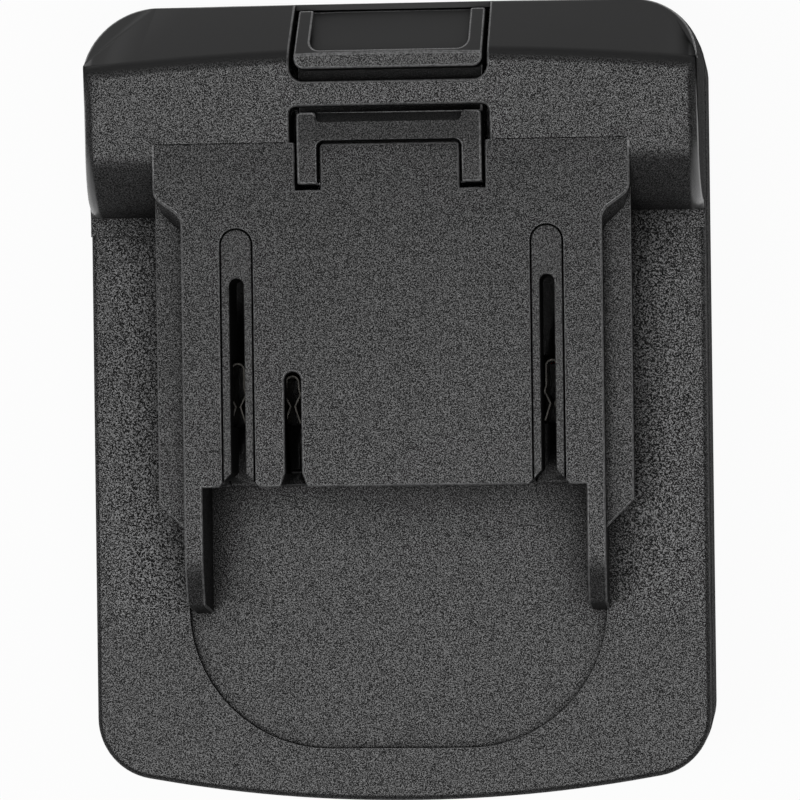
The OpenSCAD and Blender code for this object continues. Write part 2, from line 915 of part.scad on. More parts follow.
// Channel, grooves and hollows of the lower housing
module lower_cuts() {
    side_in = channel_w / 2 + wall;
    side_out = body_w / 2 - wall;
    box([-channel_w / 2, channel_end_y, -over], [channel_w / 2, front_y + over, channel_h]);
    box([-groove_w / 2, channel_end_y, rail_lip_t], [groove_w / 2, front_y + over, rail_lip_t + groove_h]);
    rounded_plate(body_w, wall, floor_z, seam_z + over);
    mirrored()
        box([side_in, channel_end_y, rail_lip_t + groove_h + wall],
            [side_out, front_y - head_corner_r, floor_z + over]);
    mirrored()
        plate(-over, channel_h)
            polygon([
                [0, front_y + over], [channel_w / 2 + entry_flare, front_y + over],
                [channel_w / 2 + entry_flare, front_y], [channel_w / 2, front_y - entry_l],
                [0, front_y - entry_l]
            ]);
    intersection() {
        plate(wall, floor_z + over)
            polygon(plan(body_w, wall));
        box([-body_w / 2, tail_y, 0], [body_w / 2, channel_end_y - tail_wall_t, seam_z]);
    }
    box([-holder_w / 2 - fit_gap, holder_y - fit_gap, channel_h - over],
        [holder_w / 2 + fit_gap, holder_y + holder_l + fit_gap, floor_z + over]);
}

// Tongue round the seam and the shelf that carries it
module seam_tongue() {
    inset = wall + fit_gap;
    difference() {
        union() {
            rounded_plate(body_w, wall / 2, seam_z - tongue_t, seam_z);
            rounded_plate(upper_w, inset, seam_z - tongue_t, seam_z + tongue_h);
        }
        rounded_plate(upper_w, inset + tongue_t, seam_z - 3 * over, seam_z + 2 * tongue_h);
    }
}

module lower_housing() {
    color(black_plastic) {
        difference() {
            union() {
                difference() {
                    rounded_plate(body_w, 0, 0, seam_z);
                    lower_cuts();
                }
                seam_tongue();
                box([-strike_half - strike_wall, strike_y - strike_l - strike_wall, floor_z - over],
                    [strike_half + strike_wall, strike_y + strike_wall, strike_top_z + strike_wall]);
                mirrored() {
                    for (k = [0, 1])
                        bar(case_screw_x[k], case_screw_y[k], floor_z - over, case_boss_z - rest_gap,
                            case_boss_d + 2 * case_post_wall);
                    bar(spring_pitch / 2, spring_y, floor_z - over, floor_z + spring_post_h, spring_post_d);
                    bar(holder_ear_x, holder_ear_y, over, floor_z, holder_ear_d);
                }
            }
            mirrored() {
                for (k = [0, 1])
                    case_hole(case_screw_x[k], case_screw_y[k]);
                bar(holder_ear_x, holder_ear_y, 2 * wall, floor_z + over, small_screw_d - thread_bite);
            }
            box([-strike_half, strike_y - strike_l, channel_h - over],
                [strike_half, strike_y, strike_top_z]);
        }
    }
}

// The n-shaped hook on top of the latch
module hook() {
    toe_z = platform_z + hook_toe_rise;
    half = hook_w / 2;
    difference() {
        across(-half, half)
            polygon([
                [leg_end_y, latch_base_z], [leg_end_y, toe_z], [bar_back_y, hook_z],
                [bar_front_y, hook_z], [bar_front_y, latch_base_z]
            ]);
        box([-half + hook_leg_w, leg_end_y - over, latch_top_z], [half - hook_leg_w, bar_back_y, far]);
        across(-half + hook_leg_w, half - hook_leg_w)
            polygon([
                [bar_front_y - hook_chamfer, hook_z + over],
                [bar_front_y - hook_chamfer, hook_z - hook_chamfer_h],
                [bar_front_y - hook_chamfer_foot, platform_z], [bar_front_y + over, platform_z],
                [bar_front_y + over, hook_z + over]
            ]);
    }
}

// The finger button in the front slope
module button() {
    half = button_w / 2;
    difference() {
        intersection() {
            head_form(button_sink, deck_z - over);
            plate(button_z, crest_z)
                polygon(rounded(both_sides([
                    [half, button_front_y, 0],
                    [half, button_back_y, button_corner_r]
                ])));
        }
        difference() {
            plate(button_z - over, crest_z + over)
                polygon(rounded(both_sides([
                    [scoop_w / 2, front_y, 0],
                    [scoop_w / 2, crest_y + scoop_start, scoop_corner_r]
                ])));
            behind_slope(scoop_depth);
        }
    }
}

module release_latch() {
    half = hook_w / 2;
    color(black_plastic)
        difference() {
            union() {
                hook();
                button();
                box([-half, bar_back_y, latch_base_z], [half, button_back_y + button_overlap, latch_top_z]);
                mirrored()
                    bar(spring_pitch / 2, spring_y, spring_boss_z, latch_base_z + over, spring_boss_d);
            }
            mirrored()
                bar(spring_pitch / 2, spring_y, spring_boss_z - over, spring_pocket_z, spring_pocket_d);
        }
}

// Compression spring under the latch
module latch_spring(x) {
    path = spring_path(x);
    echo(least_spring_gap = self_gap(path));
    color(steel)
        tube(path, spring_wire, spring_sides);
}

module latch_spring_left() {
    latch_spring(-spring_pitch / 2);
}

module latch_spring_right() {
    latch_spring(spring_pitch / 2);
}

// Room for a clip in the terminal block
module clip_pocket(x, back_y) {
    half = clip_fold_r + clip_room;
    box([x - half, clip_flare_y - clip_room, block_z - over],
        [x + half, back_y + clip_room, clip_top_z + clip_room]);
}

module terminal_block() {
    color(block_plastic)
        difference() {
            union() {
                box([-block_w / 2, block_front_y, block_z], [block_w / 2, block_back_y, block_top_z]);
                mirrored()
                    plate(fin_floor_z, fin_top_z)
                        fin_plan(0, platform_end_y);
            }
            slot_cuts();
            clip_pocket(clip_x, clip_back_y);
            clip_pocket(-clip_x, clip_back_y);
            clip_pocket(signal_clip_x, signal_back_y);
            for (y = block_screw_y) {
                bar(0, y, block_boss_z - fit_gap, block_top_z + over, block_boss_d + 2 * fit_gap);
                bar(0, y, block_z - over, block_top_z, small_screw_d + 2 * screw_room);
            }
        }
}

// Plate that keeps the clips in the terminal block
module clip_retainer() {
    half = tag_w / 2 + screw_room;
    color(insulator)
        difference() {
            box([-block_w / 2, block_front_y, retainer_z],
                [block_w / 2, block_back_y, retainer_z + retainer_t]);
            for (t = [[clip_x, clip_back_y], [-clip_x, clip_back_y], [signal_clip_x, signal_back_y]])
                box([t[0] - half, t[1] - clip_t - screw_room, retainer_z - over],
                    [t[0] + half, t[1] + screw_room, retainer_z + retainer_t + over]);
            for (y = block_screw_y)
                bar(0, y, retainer_z - over, retainer_z + retainer_t + over, small_screw_d + 2 * screw_room);
        }
}

// Folded contact clip with two sprung leaves and a tag for its wire
module clip(x, back_y) {
    fold_y = back_y - clip_fold_r;
    mid = clip_fold_r - clip_t / 2;
    bend_y = clip_pinch_y + clip_bend_l;
    leaf = [
        [mid, fold_y], [mid, bend_y + clip_neck_l], [clip_flare, bend_y],
        [clip_pinch + clip_t / 2, clip_pinch_y], [clip_flare, clip_flare_y]
    ];
    color(nickel)
        translate([x, 0, 0]) {
            plate(clip_z, clip_top_z) {
                difference() {
                    translate([0, fold_y])
                        circle(r = clip_fold_r);
                    translate([0, fold_y])
                        circle(r = clip_fold_r - clip_t);
                    translate([-clip_fold_r - over, fold_y - 2 * clip_fold_r])
                        square([2 * clip_fold_r + 2 * over, 2 * clip_fold_r]);
                }
                polygon(ribbon(leaf, clip_t));
                mirror([1, 0])
                    polygon(ribbon(leaf, clip_t));
            }
            box([-tag_w / 2, back_y - clip_t, tag_z], [tag_w / 2, back_y, clip_z + over]);
        }
}

module positive_clip() {
    clip(clip_x, clip_back_y);
}

module negative_clip() {
    clip(-clip_x, clip_back_y);
}

module signal_clip() {
    clip(signal_clip_x, signal_back_y);
}

// Pan-headed screw pointing up, with a cross recess in its head
module screw(x, y, head_z, head_d, head_h, d, l) {
    slot = head_d * cross_l;
    blade = head_d * cross_w;
    color(steel)
        difference() {
            union() {
                bar(x, y, head_z - head_h, head_z, head_d);
                bar(x, y, head_z - head_h / 4, head_z + l, d - thread_bite - shank_gap);
            }
            translate([x, y, head_z - head_h]) {
                cube([slot, blade, head_h], center = true);
                cube([blade, slot, head_h], center = true);
            }
        }
}

module block_screws() {
    for (y = block_screw_y)
        screw(0, y, retainer_z - seat_gap, small_head_d, small_head_h, small_screw_d,
            block_boss_z - retainer_z + block_screw_grip);
}

module case_screws() {
    for (k = [0, 1])
        for (s = [-1, 1])
            screw(s * case_screw_x[k], case_screw_y[k], channel_h + case_recess - seat_gap,
                case_head_d, case_head_h, case_screw_d, case_screw_l);
}

// Side view of a blade with its upright tag
module blade_plan(i) {
    tip_y = holder_y + holder_l + blade_l;
    tag_y = blade_back_y + blade_tag_l + i;
    polygon([
        [blade_back_y - i, blade_z - i], [tip_y - blade_nose, blade_z - i], [tip_y, blade_z + blade_nose],
        [tip_y, blade_z + blade_h - blade_nose], [tip_y - blade_nose, blade_z + blade_h + i],
        [tag_y, blade_z + blade_h + i], [tag_y, blade_tag_z], [blade_back_y - i, blade_tag_z]
    ]);
}

module blade(x, i) {
    across(x - blade_t / 2 - i, x + blade_t / 2 + i)
        blade_plan(i);
}

module positive_blade() {
    color(nickel)
        blade(blade_x, 0);
}

module negative_blade() {
    color(nickel)
        blade(-blade_x, 0);
}

module signal_blade() {
    color(nickel)
        blade(signal_blade_x, 0);
}

module blade_holder() {
    low_z = floor_z + seat_gap;
    high_z = low_z + holder_flange_t;
    color(insulator)
        difference() {
            union() {
                box([-holder_w / 2, holder_y, holder_z], [holder_w / 2, holder_y + holder_l, floor_z + over]);
                box([-holder_w / 2 - holder_flange, holder_y - fit_gap, low_z],
                    [holder_w / 2 + holder_flange, holder_y + holder_l + holder_flange, high_z]);
                mirrored() {
                    bar(holder_ear_x, holder_ear_y, low_z, high_z, 2 * holder_ear_r);
                    box([holder_ear_x - holder_ear_r, holder_ear_y, low_z],
                        [holder_ear_x + holder_ear_r, holder_y + over, high_z]);
                }
            }
            blade(blade_x, blade_fit);
            blade(-blade_x, blade_fit);
            blade(signal_blade_x, blade_fit);
            mirrored()
                bar(holder_ear_x, holder_ear_y, floor_z - over, far, small_screw_d + screw_room);
        }
}

module holder_screws() {
    top_z = floor_z + holder_flange_t + 2 * seat_gap;
    mirrored()
        translate([holder_ear_x, holder_ear_y, top_z])
            rotate([180, 0, 0])
                screw(0, 0, 0, holder_head_d, holder_head_h, small_screw_d, holder_screw_l);
}

module positive_wire() {
    color(red_wire)
        tube(smooth(wire_route(clip_x, clip_back_y, blade_x), wire_steps), power_wire_d, wire_sides);
}

module negative_wire() {
    color(black_wire)
        tube(smooth(wire_route(-clip_x, clip_back_y, -blade_x), wire_steps), power_wire_d, wire_sides);
}

module signal_wire() {
    color(yellow_wire)
        tube(smooth(wire_route(signal_clip_x, signal_back_y, signal_blade_x), wire_steps),
            signal_wire_d, wire_sides);
}

upper_housing();
lower_housing();
release_latch();
latch_spring_left();
latch_spring_right();
terminal_block();
clip_retainer();
positive_clip();
negative_clip();
signal_clip();
block_screws();
blade_holder();
positive_blade();
negative_blade();
signal_blade();
holder_screws();
positive_wire();
negative_wire();
signal_wire();
case_screws();
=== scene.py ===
"""Looks of a slide-on battery adapter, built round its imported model."""

import math

import bmesh
import bpy
from bpy.props import (
    FloatProperty,
    FloatVectorProperty,
    IntProperty,
    PointerProperty,
)
from mathutils import Matrix, Vector


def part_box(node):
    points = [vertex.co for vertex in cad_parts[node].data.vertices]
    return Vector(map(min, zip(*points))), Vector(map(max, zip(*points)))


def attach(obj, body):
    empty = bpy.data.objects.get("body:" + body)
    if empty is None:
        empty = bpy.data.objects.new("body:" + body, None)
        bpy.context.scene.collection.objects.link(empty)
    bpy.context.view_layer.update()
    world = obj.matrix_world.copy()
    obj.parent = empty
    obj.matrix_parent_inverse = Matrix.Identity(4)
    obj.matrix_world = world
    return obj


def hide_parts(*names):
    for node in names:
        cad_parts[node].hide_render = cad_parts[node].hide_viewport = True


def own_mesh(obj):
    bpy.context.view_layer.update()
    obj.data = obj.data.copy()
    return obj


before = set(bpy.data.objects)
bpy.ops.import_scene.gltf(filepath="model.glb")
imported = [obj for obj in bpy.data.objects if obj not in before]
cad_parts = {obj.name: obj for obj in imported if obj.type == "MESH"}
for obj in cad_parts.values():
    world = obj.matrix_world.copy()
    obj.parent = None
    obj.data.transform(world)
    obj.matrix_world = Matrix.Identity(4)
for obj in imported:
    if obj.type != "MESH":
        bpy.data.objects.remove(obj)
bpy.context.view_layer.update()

bl_info = {
    "name": "Slide-on battery adapter",
    "version": (1, 0, 0),
    "blender": (4, 5, 0),
    "location": "View3D > Sidebar > Adapter",
    "description": "Builds the looks of a slide-on battery adapter round its packed model",
    "category": "Object",
}

MM = 0.001
# Corners nearer than this are one corner
WELD = 0.003 * MM
# Edges nearer than this to a place are at that place
NEAR = 0.1 * MM
# Flat faces that meet at less than this are one face
FLAT = math.radians(0.4)
# Edges that turn by more than this are rounded
SHARP = math.radians(24)
# Edges that turn by less than this at a corner are one run
RUN_ON = math.cos(math.radians(35))
# Radii above this share of the usual one are rounded first, as soft edges
SOFT_SHARE = 1.2
# Faces across a corner that is round in plan
CORNER_STEPS = 4

# Places on the part
DECK_Z = 27 * MM
FLANGE_Z = 33.2 * MM
PLATFORM_Z = 35.6 * MM
SLOT_X = 18.6 * MM
JOINT_Y = 31.2 * MM

# Spark grain: its turn in space, its noise, the scale of its coarse kind and its lowest and highest noise
GRAIN_TURN = (0.6, 0.45, 0.3)
GRAIN_NOISE = {"Detail": 1.0, "Roughness": 0.6}
COARSE_SCALE = 0.55
GRAIN_HEIGHTS = (0.34, 0.66)
# Slow change of tone over a face
DRIFT_NOISE = {"Scale": 38.0, "Detail": 2.0}
DRIFT_HEIGHTS = (0.3, 0.7)

# Grained plastic, from the grain's pits to its crowns
GRAIN_SHADES = (0.06, 2.3)
GRAIN_ROUGH = (0.58, 0.32)
GRAIN_DEPTH = 0.03 * MM
PLASTIC_SPECULAR = 0.16
# Painted glints make the highest peaks paler: the tones at which that starts and is full
GLINT_TONES = (0.8, 1.4)
GLINT_SHADE = 9
DRIFT_SHADES = (0.93, 1.07)
SPECK_SHARE = 0.01
SPECK_COLOUR = (0.14, 0.14, 0.135)
# Painted shade in corners: how far out it is looked for, and how closed and how open a place is
CORNER_SHADE_REACH = 8 * MM
CORNER_SHADE_SAMPLES = 6
CORNER_SHADE_OPEN = (0.25, 1.0)
CORNER_SHADE = 0.12
# Polish lies on faces that look up or down
POLISH_TONES = (0.2, 0.88)
POLISH_FACING = (0.93, 0.988)
POLISH_ROUGH = 0.36
# Steep walls are dull
STEEP_FACING = (0.3, 0.1)
STEEP_ROUGH = 0.95

# Fades on the head, each from where a finish starts to where it is full
SLOPE_Y = (38 * MM, 39 * MM)
SLOPE_FACING = (0.12, 0.55)
LIP_Y = (46.8 * MM, 47.2 * MM)
# Painted highlight on the head's back corners and on a thin line along its sides, which are also polished
CHEEK_X = (35.6 * MM, 36.0 * MM)
CHEEK_Z = (DECK_Z + 0.2 * MM, DECK_Z + 0.5 * MM)
CHEEK_LINE_SIDEWAYS = (0.7, 0.95)
CHEEK_LINE_TOP = (0.6, 0.4)
CHEEK_LINE_FOOT = (0.1, 0.25)
CHEEK_BACK_Y = (32 * MM, 28 * MM)
CHEEK_BACK_UP = (0.95, 0.8)
CHEEK_BACK_SIDEWAYS = (0.985, 0.94)
CHEEK_HIGHLIGHT_SHADE = 3.5

# Stronger and coarser grain on the deck, next to the flanges; its stronger tone contrast is painted raking
# light
ZONE_INNER_X = (24 * MM, 27 * MM)
ZONE_OUTER_X = (40 * MM, 31 * MM)
ZONE_Y = (-30 * MM, -20 * MM)
ZONE_TOP_Z = DECK_Z + 1 * MM
ZONE_GAIN = 1.8
ZONE_COARSE = 0.45


class AdapterFinish(bpy.types.PropertyGroup):
    """Colours and surface relief of the adapter's materials"""

    plastic: FloatVectorProperty(
        name="Housing plastic", description="Colour of the grained housings",
        subtype="COLOR", size=3, min=0, max=1, default=(0.019, 0.019, 0.0193),
    )
    satin: FloatVectorProperty(
        name="Satin plastic", description="Colour of the smooth front slope and button",
        subtype="COLOR", size=3, min=0, max=1, default=(0.022, 0.022, 0.0223),
    )
    # Pale colour of the fine edges: a painted edge highlight, with some wear
    painted_edge: FloatVectorProperty(
        name="Edge highlights", description="Colour of the painted edge highlights",
        subtype="COLOR", size=3, min=0, max=1, default=(0.085, 0.085, 0.086),
    )
    latch: FloatVectorProperty(
        name="Latch plastic", description="Colour of the grained hook",
        subtype="COLOR", size=3, min=0, max=1, default=(0.013, 0.013, 0.0132),
    )
    block: FloatVectorProperty(
        name="Block plastic", description="Colour of the terminal block",
        subtype="COLOR", size=3, min=0, max=1, default=(0.019, 0.019, 0.0193),
    )
    insulator: FloatVectorProperty(
        name="Insulator", description="Colour of the blade holder and clip retainer",
        subtype="COLOR", size=3, min=0, max=1, default=(0.05, 0.05, 0.052),
    )
    nickel: FloatVectorProperty(
        name="Nickel", description="Colour of the plated clips and blades",
        subtype="COLOR", size=3, min=0, max=1, default=(0.72, 0.69, 0.63),
    )
    steel: FloatVectorProperty(
        name="Steel", description="Colour of the screws and springs",
        subtype="COLOR", size=3, min=0, max=1, default=(0.50, 0.51, 0.53),
    )
    grain_size: FloatProperty(
        name="Grain size", description="Size of the fine eroded grain",
        subtype="DISTANCE", unit="LENGTH", precision=5, default=0.138 * MM, min=0.05 * MM, max=1 * MM,
    )


class AdapterEdges(bpy.types.PropertyGroup):
    """Rounding of the moulded edges"""

    edge: FloatProperty(
        name="Edge radius", description="Rounding of most moulded edges",
        subtype="DISTANCE", unit="LENGTH", precision=5, default=0.24 * MM, min=0.05 * MM, max=0.5 * MM,
    )
    fine: FloatProperty(
        name="Fine edge radius", description="Rounding round the terminal slots",
        subtype="DISTANCE", unit="LENGTH", precision=5, default=0.12 * MM, min=0.03 * MM, max=0.3 * MM,
    )
    cheek: FloatProperty(
        name="Cheek radius", description="Rounding between the head's top and its sides",
        subtype="DISTANCE", unit="LENGTH", precision=5, default=1.3 * MM, min=0.2 * MM, max=2 * MM,
    )
    crest: FloatProperty(
        name="Crest radius", description="Rounding of the crest above the front slope",
        subtype="DISTANCE", unit="LENGTH", precision=5, default=1.2 * MM, min=0.1 * MM, max=2 * MM,
    )
    rim: FloatProperty(
        name="Rim radius", description="Rounding of the deck's outer edge",
        subtype="DISTANCE", unit="LENGTH", precision=5, default=0.7 * MM, min=0.1 * MM, max=1 * MM,
    )
    corner: FloatProperty(
        name="Corner radius", description="Plan rounding of the corners of the hook and its pocket",
        subtype="DISTANCE", unit="LENGTH", precision=5, default=0.9 * MM, min=0.2 * MM, max=1.5 * MM,
    )
    steps: IntProperty(
        name="Steps", description="Faces across a rounded edge", default=3, min=1, max=6,
    )


class AdapterStage(bpy.types.PropertyGroup):
    """Camera and light round the adapter"""

    distance: FloatProperty(
        name="Camera distance", description="Distance from the deck to the camera",
        subtype="DISTANCE", unit="LENGTH", default=0.55, min=0.3, max=3,
    )
    tilt: FloatProperty(
        name="Tilt", description="How far the camera stands to the right of straight above",
        subtype="ANGLE", default=math.radians(4.94), min=0, max=math.radians(30),
    )
    roll: FloatProperty(
        name="Roll", description="Turn of the adapter in the picture",
        subtype="ANGLE", default=math.radians(0.74), min=-math.radians(5), max=math.radians(5),
    )
    view_width: FloatProperty(
        name="View width", description="Width of the picture at the deck",
        subtype="DISTANCE", unit="LENGTH", precision=4, default=96.95 * MM, min=0.05, max=0.3,
    )
    key: FloatProperty(
        name="Softbox power", description="Power of each overhead softbox",
        subtype="POWER", unit="POWER", default=1.5, min=0, max=10,
    )
    fill: FloatProperty(
        name="Fill", description="Brightness of the surroundings", default=0.02, min=0, max=2,
    )


def settings():
    scene = bpy.context.scene
    return scene.adapter_finish, scene.adapter_edges, scene.adapter_stage


# Shader helpers
def feed(tree, value, socket):
    """Links another node's output to a socket, or sets a plain value on it."""
    if isinstance(value, bpy.types.NodeSocket):
        tree.links.new(value, socket)
    else:
        socket.default_value = value


def add(tree, kind, inputs=None, **values):
    node = tree.nodes.new(kind)
    for key, value in values.items():
        setattr(node, key, value)
    for key, value in (inputs or {}).items():
        feed(tree, value, node.inputs[key])
    return node


def math_node(tree, operation, a, b=0.0, c=0.0):
    return add(tree, "ShaderNodeMath", {0: a, 1: b, 2: c}, operation=operation).outputs[0]


def product(tree, value, *others):
    for other in others:
        value = math_node(tree, "MULTIPLY", value, other)
    return value


def ramp(tree, value, low, high, to_low=0.0, to_high=1.0):
    node = add(
        tree, "ShaderNodeMapRange",
        {"Value": value, "From Min": low, "From Max": high, "To Min": to_low, "To Max": to_high},
        interpolation_type="SMOOTHSTEP",
    )
    return node.outputs[0]


def axes_of(tree, vector):
    return add(tree, "ShaderNodeSeparateXYZ", {"Vector": vector}).outputs


def mix_value(tree, factor, a, b):
    node = add(tree, "ShaderNodeMix", {"Factor": factor, "A": a, "B": b}, data_type="FLOAT")
    return node.outputs["Result"]


def mix_colour(tree, factor, a, b, blend="MIX"):
    node = add(tree, "ShaderNodeMix", {0: factor, 6: a, 7: b}, data_type="RGBA", blend_type=blend)
    return node.outputs[2]


def rgba(colour):
    return (*colour, 1.0)


def grey(value):
    return (value, value, value, 1.0)


def group(name, inputs, outputs):
    """New node group with named sockets; returns the tree and its inner ends."""
    tree = bpy.data.node_groups.new(name, "ShaderNodeTree")
    for label, kind, default in inputs:
        socket = tree.interface.new_socket(label, in_out="INPUT", socket_type=kind)
        if default is not None:
            socket.default_value = default
    for label, kind in outputs:
        tree.interface.new_socket(label, in_out="OUTPUT", socket_type=kind)
    return tree, tree.nodes.new("NodeGroupInput"), tree.nodes.new("NodeGroupOutput")


def grain_group():
    """Fine spark-eroded grain: its relief, its tone and a slow drift over the face."""
    if "Spark grain" in bpy.data.node_groups:
        return bpy.data.node_groups["Spark grain"]
    tree, start, end = group(
        "Spark grain",
        [
            ("Vector", "NodeSocketVector", None),
            ("Size", "NodeSocketFloat", 0.18 * MM),
            ("Contrast", "NodeSocketFloat", 1.0),
            ("Coarse", "NodeSocketFloat", 0.0),
        ],
        [("Relief", "NodeSocketFloat"), ("Tone", "NodeSocketFloat"), ("Drift", "NodeSocketFloat")],
    )
    turned = add(tree, "ShaderNodeMapping", {"Vector": start.outputs["Vector"], "Rotation": GRAIN_TURN})
    vector = turned.outputs[0]
    scale = math_node(tree, "DIVIDE", 1.0, start.outputs["Size"])
    wide = math_node(tree, "MULTIPLY", scale, COARSE_SCALE)
    pits = add(tree, "ShaderNodeTexNoise", {"Vector": vector, "Scale": scale, **GRAIN_NOISE})
    waves = add(tree, "ShaderNodeTexNoise", {"Vector": vector, "Scale": wide, **GRAIN_NOISE})
    drift = add(tree, "ShaderNodeTexNoise", {"Vector": vector, **DRIFT_NOISE})
    both = mix_value(tree, start.outputs["Coarse"], pits.outputs[0], waves.outputs[0])
    height = ramp(tree, both, *GRAIN_HEIGHTS)
    centred = math_node(tree, "SUBTRACT", height, 0.5)
    tone = math_node(tree, "MULTIPLY_ADD", centred, start.outputs["Contrast"], 0.5)
    tree.links.new(product(tree, height, start.outputs["Contrast"]), end.inputs["Relief"])
    tree.links.new(tone, end.inputs["Tone"])
    tree.links.new(ramp(tree, drift.outputs[0], *DRIFT_HEIGHTS), end.inputs["Drift"])
    return tree


def dust_group():
    """Few tiny pale specks."""
    if "Dust specks" in bpy.data.node_groups:
        return bpy.data.node_groups["Dust specks"]
    tree, start, end = group(
        "Dust specks",
        [("Vector", "NodeSocketVector", None), ("Amount", "NodeSocketFloat", 0.03)],
        [("Mask", "NodeSocketFloat")],
    )
    per_metre = 520.0
    speck_radius = 0.07
    cells = add(tree, "ShaderNodeTexVoronoi", {"Vector": start.outputs["Vector"], "Scale": per_metre})
    near = math_node(tree, "LESS_THAN", cells.outputs["Distance"], speck_radius)
    pick = add(tree, "ShaderNodeSeparateColor", {"Color": cells.outputs["Color"]})
    chosen = math_node(tree, "LESS_THAN", pick.outputs[0], start.outputs["Amount"])
    tree.links.new(product(tree, near, chosen), end.inputs["Mask"])
    return tree


def new_material(name):
    material = bpy.data.materials.new(name)
    material.use_nodes = True
    tree = material.node_tree
    tree.nodes.clear()
    out = tree.nodes.new("ShaderNodeOutputMaterial")
    shader = tree.nodes.new("ShaderNodeBsdfPrincipled")
    tree.links.new(shader.outputs[0], out.inputs["Surface"])
    where = add(tree, "ShaderNodeTexCoord").outputs["Object"]
    return material, tree, shader, where


def place_group(tree, group_tree, **inputs):
    return add(tree, "ShaderNodeGroup", inputs, node_tree=group_tree)


def bump(tree, shader, height, depth):
    node = add(tree, "ShaderNodeBump", {"Height": height, "Distance": depth, "Strength": 1.0})
    tree.links.new(node.outputs[0], shader.inputs["Normal"])


def shade_range(colour, low, high):
    return rgba([c * low for c in colour]), rgba([min(1.0, c * high) for c in colour])


def grained_plastic(name, colour, size, contrast=1.0, zone=None, smooth=None, shine=1.0):
    """Moulded plastic with fine grain.

    zone varies the grain's strength, and smooth is a satin colour for the front slope.
    """
    material, tree, shader, where = new_material(name)
    facing = axes_of(tree, add(tree, "ShaderNodeTexCoord").outputs["Normal"])
    level, coarse = zone(tree, where, contrast) if zone else (contrast, 0.0)
    satin = slope_mask(tree, where, facing) if smooth else None
    if satin:
        level = product(tree, level, math_node(tree, "SUBTRACT", 1.0, satin))
    grain = place_group(tree, grain_group(), Vector=where, Size=size, Contrast=level, Coarse=coarse)
    specks = place_group(tree, dust_group(), Vector=where, Amount=SPECK_SHARE)
    tone = grain.outputs["Tone"]
    base = mix_colour(tree, tone, *shade_range(colour, *GRAIN_SHADES))
    # Painted glints on the grain's highest peaks
    base = mix_colour(tree, ramp(tree, tone, *GLINT_TONES), base, rgba([c * GLINT_SHADE for c in colour]))
    if satin:
        base = mix_colour(tree, satin, base, rgba(smooth))
    drift = mix_colour(tree, grain.outputs["Drift"], *(grey(shade) for shade in DRIFT_SHADES))
    base = mix_colour(tree, 1.0, base, drift, "MULTIPLY")
    base = mix_colour(tree, specks.outputs["Mask"], base, rgba(SPECK_COLOUR))
    # Painted shade darkens the corners, and nothing is polished there
    corner = add(tree, "ShaderNodeAmbientOcclusion", {"Distance": CORNER_SHADE_REACH}, samples=CORNER_SHADE_SAMPLES)
    reach = ramp(tree, corner.outputs["AO"], *CORNER_SHADE_OPEN)
    corner_shaded = mix_colour(tree, 1.0, base, grey(CORNER_SHADE), "MULTIPLY")
    base = mix_colour(tree, reach, corner_shaded, base)
    # Painted highlight on the head's back corners and along its sides, where the coat polish is full too
    if satin:
        cheek_highlight = cheek_highlight_mask(tree, where, facing)
        base = mix_colour(tree, cheek_highlight, base, rgba([c * CHEEK_HIGHLIGHT_SHADE for c in smooth]))
    tree.links.new(base, shader.inputs["Base Color"])
    upward = math_node(tree, "ABSOLUTE", facing["Z"])
    steep = ramp(tree, upward, *STEEP_FACING, 0.0, STEEP_ROUGH)
    rough = math_node(tree, "MAXIMUM", ramp(tree, tone, 0.0, 1.0, *GRAIN_ROUGH), steep)
    tree.links.new(rough, shader.inputs["Roughness"])
    # Polish lies on the grain's peaks; steep walls and the painted-shade corners have none
    flat = ramp(tree, upward, *POLISH_FACING, 0.0, shine)
    polish = product(tree, ramp(tree, tone, *POLISH_TONES), flat, reach)
    if satin:
        polish = math_node(tree, "MAXIMUM", polish, cheek_highlight)
    tree.links.new(polish, shader.inputs["Coat Weight"])
    shader.inputs["Coat Roughness"].default_value = POLISH_ROUGH
    shader.inputs["Specular IOR Level"].default_value = PLASTIC_SPECULAR
    bump(tree, shader, grain.outputs["Relief"], GRAIN_DEPTH)
    return material


def slope_mask(tree, where, facing):
    """One on the front slope and its lip, fading out over the crest."""
    place = axes_of(tree, where)
    slope = product(tree, ramp(tree, place["Y"], *SLOPE_Y), ramp(tree, facing["Y"], *SLOPE_FACING))
    return math_node(tree, "MAXIMUM", slope, ramp(tree, place["Y"], *LIP_Y))


def cheek_highlight_mask(tree, where, facing):
    """One on the head's back corners and on a thin line along its sides, where a highlight is painted in.
    """
    place = axes_of(tree, where)
    up = facing["Z"]
    sideways = math_node(tree, "ABSOLUTE", facing["X"])
    turning = product(tree, ramp(tree, up, *CHEEK_LINE_TOP), ramp(tree, up, *CHEEK_LINE_FOOT))
    line = product(tree, ramp(tree, sideways, *CHEEK_LINE_SIDEWAYS), turning)
    back = product(
        tree, ramp(tree, place["Y"], *CHEEK_BACK_Y), ramp(tree, up, *CHEEK_BACK_UP),
        ramp(tree, sideways, *CHEEK_BACK_SIDEWAYS),
    )
    cheek_highlight = math_node(tree, "MAXIMUM", line, back)
    out = ramp(tree, math_node(tree, "ABSOLUTE", place["X"]), *CHEEK_X)
    above = ramp(tree, place["Z"], *CHEEK_Z)
    return product(tree, cheek_highlight, product(tree, out, above))


def deck_zone(tree, where, contrast):
    """Stronger and coarser grain on the deck's two sides, next to the flanges, with its stronger tone
    contrast painted in as raking light.
    """
    place = axes_of(tree, where)
    out = math_node(tree, "ABSOLUTE", place["X"])
    near = product(tree, ramp(tree, out, *ZONE_INNER_X), ramp(tree, out, *ZONE_OUTER_X))
    low = math_node(tree, "LESS_THAN", place["Z"], ZONE_TOP_Z)
    zone = product(tree, near, ramp(tree, place["Y"], *ZONE_Y), low)
    level = math_node(tree, "MULTIPLY_ADD", zone, contrast * ZONE_GAIN, contrast)
    return level, product(tree, zone, ZONE_COARSE)


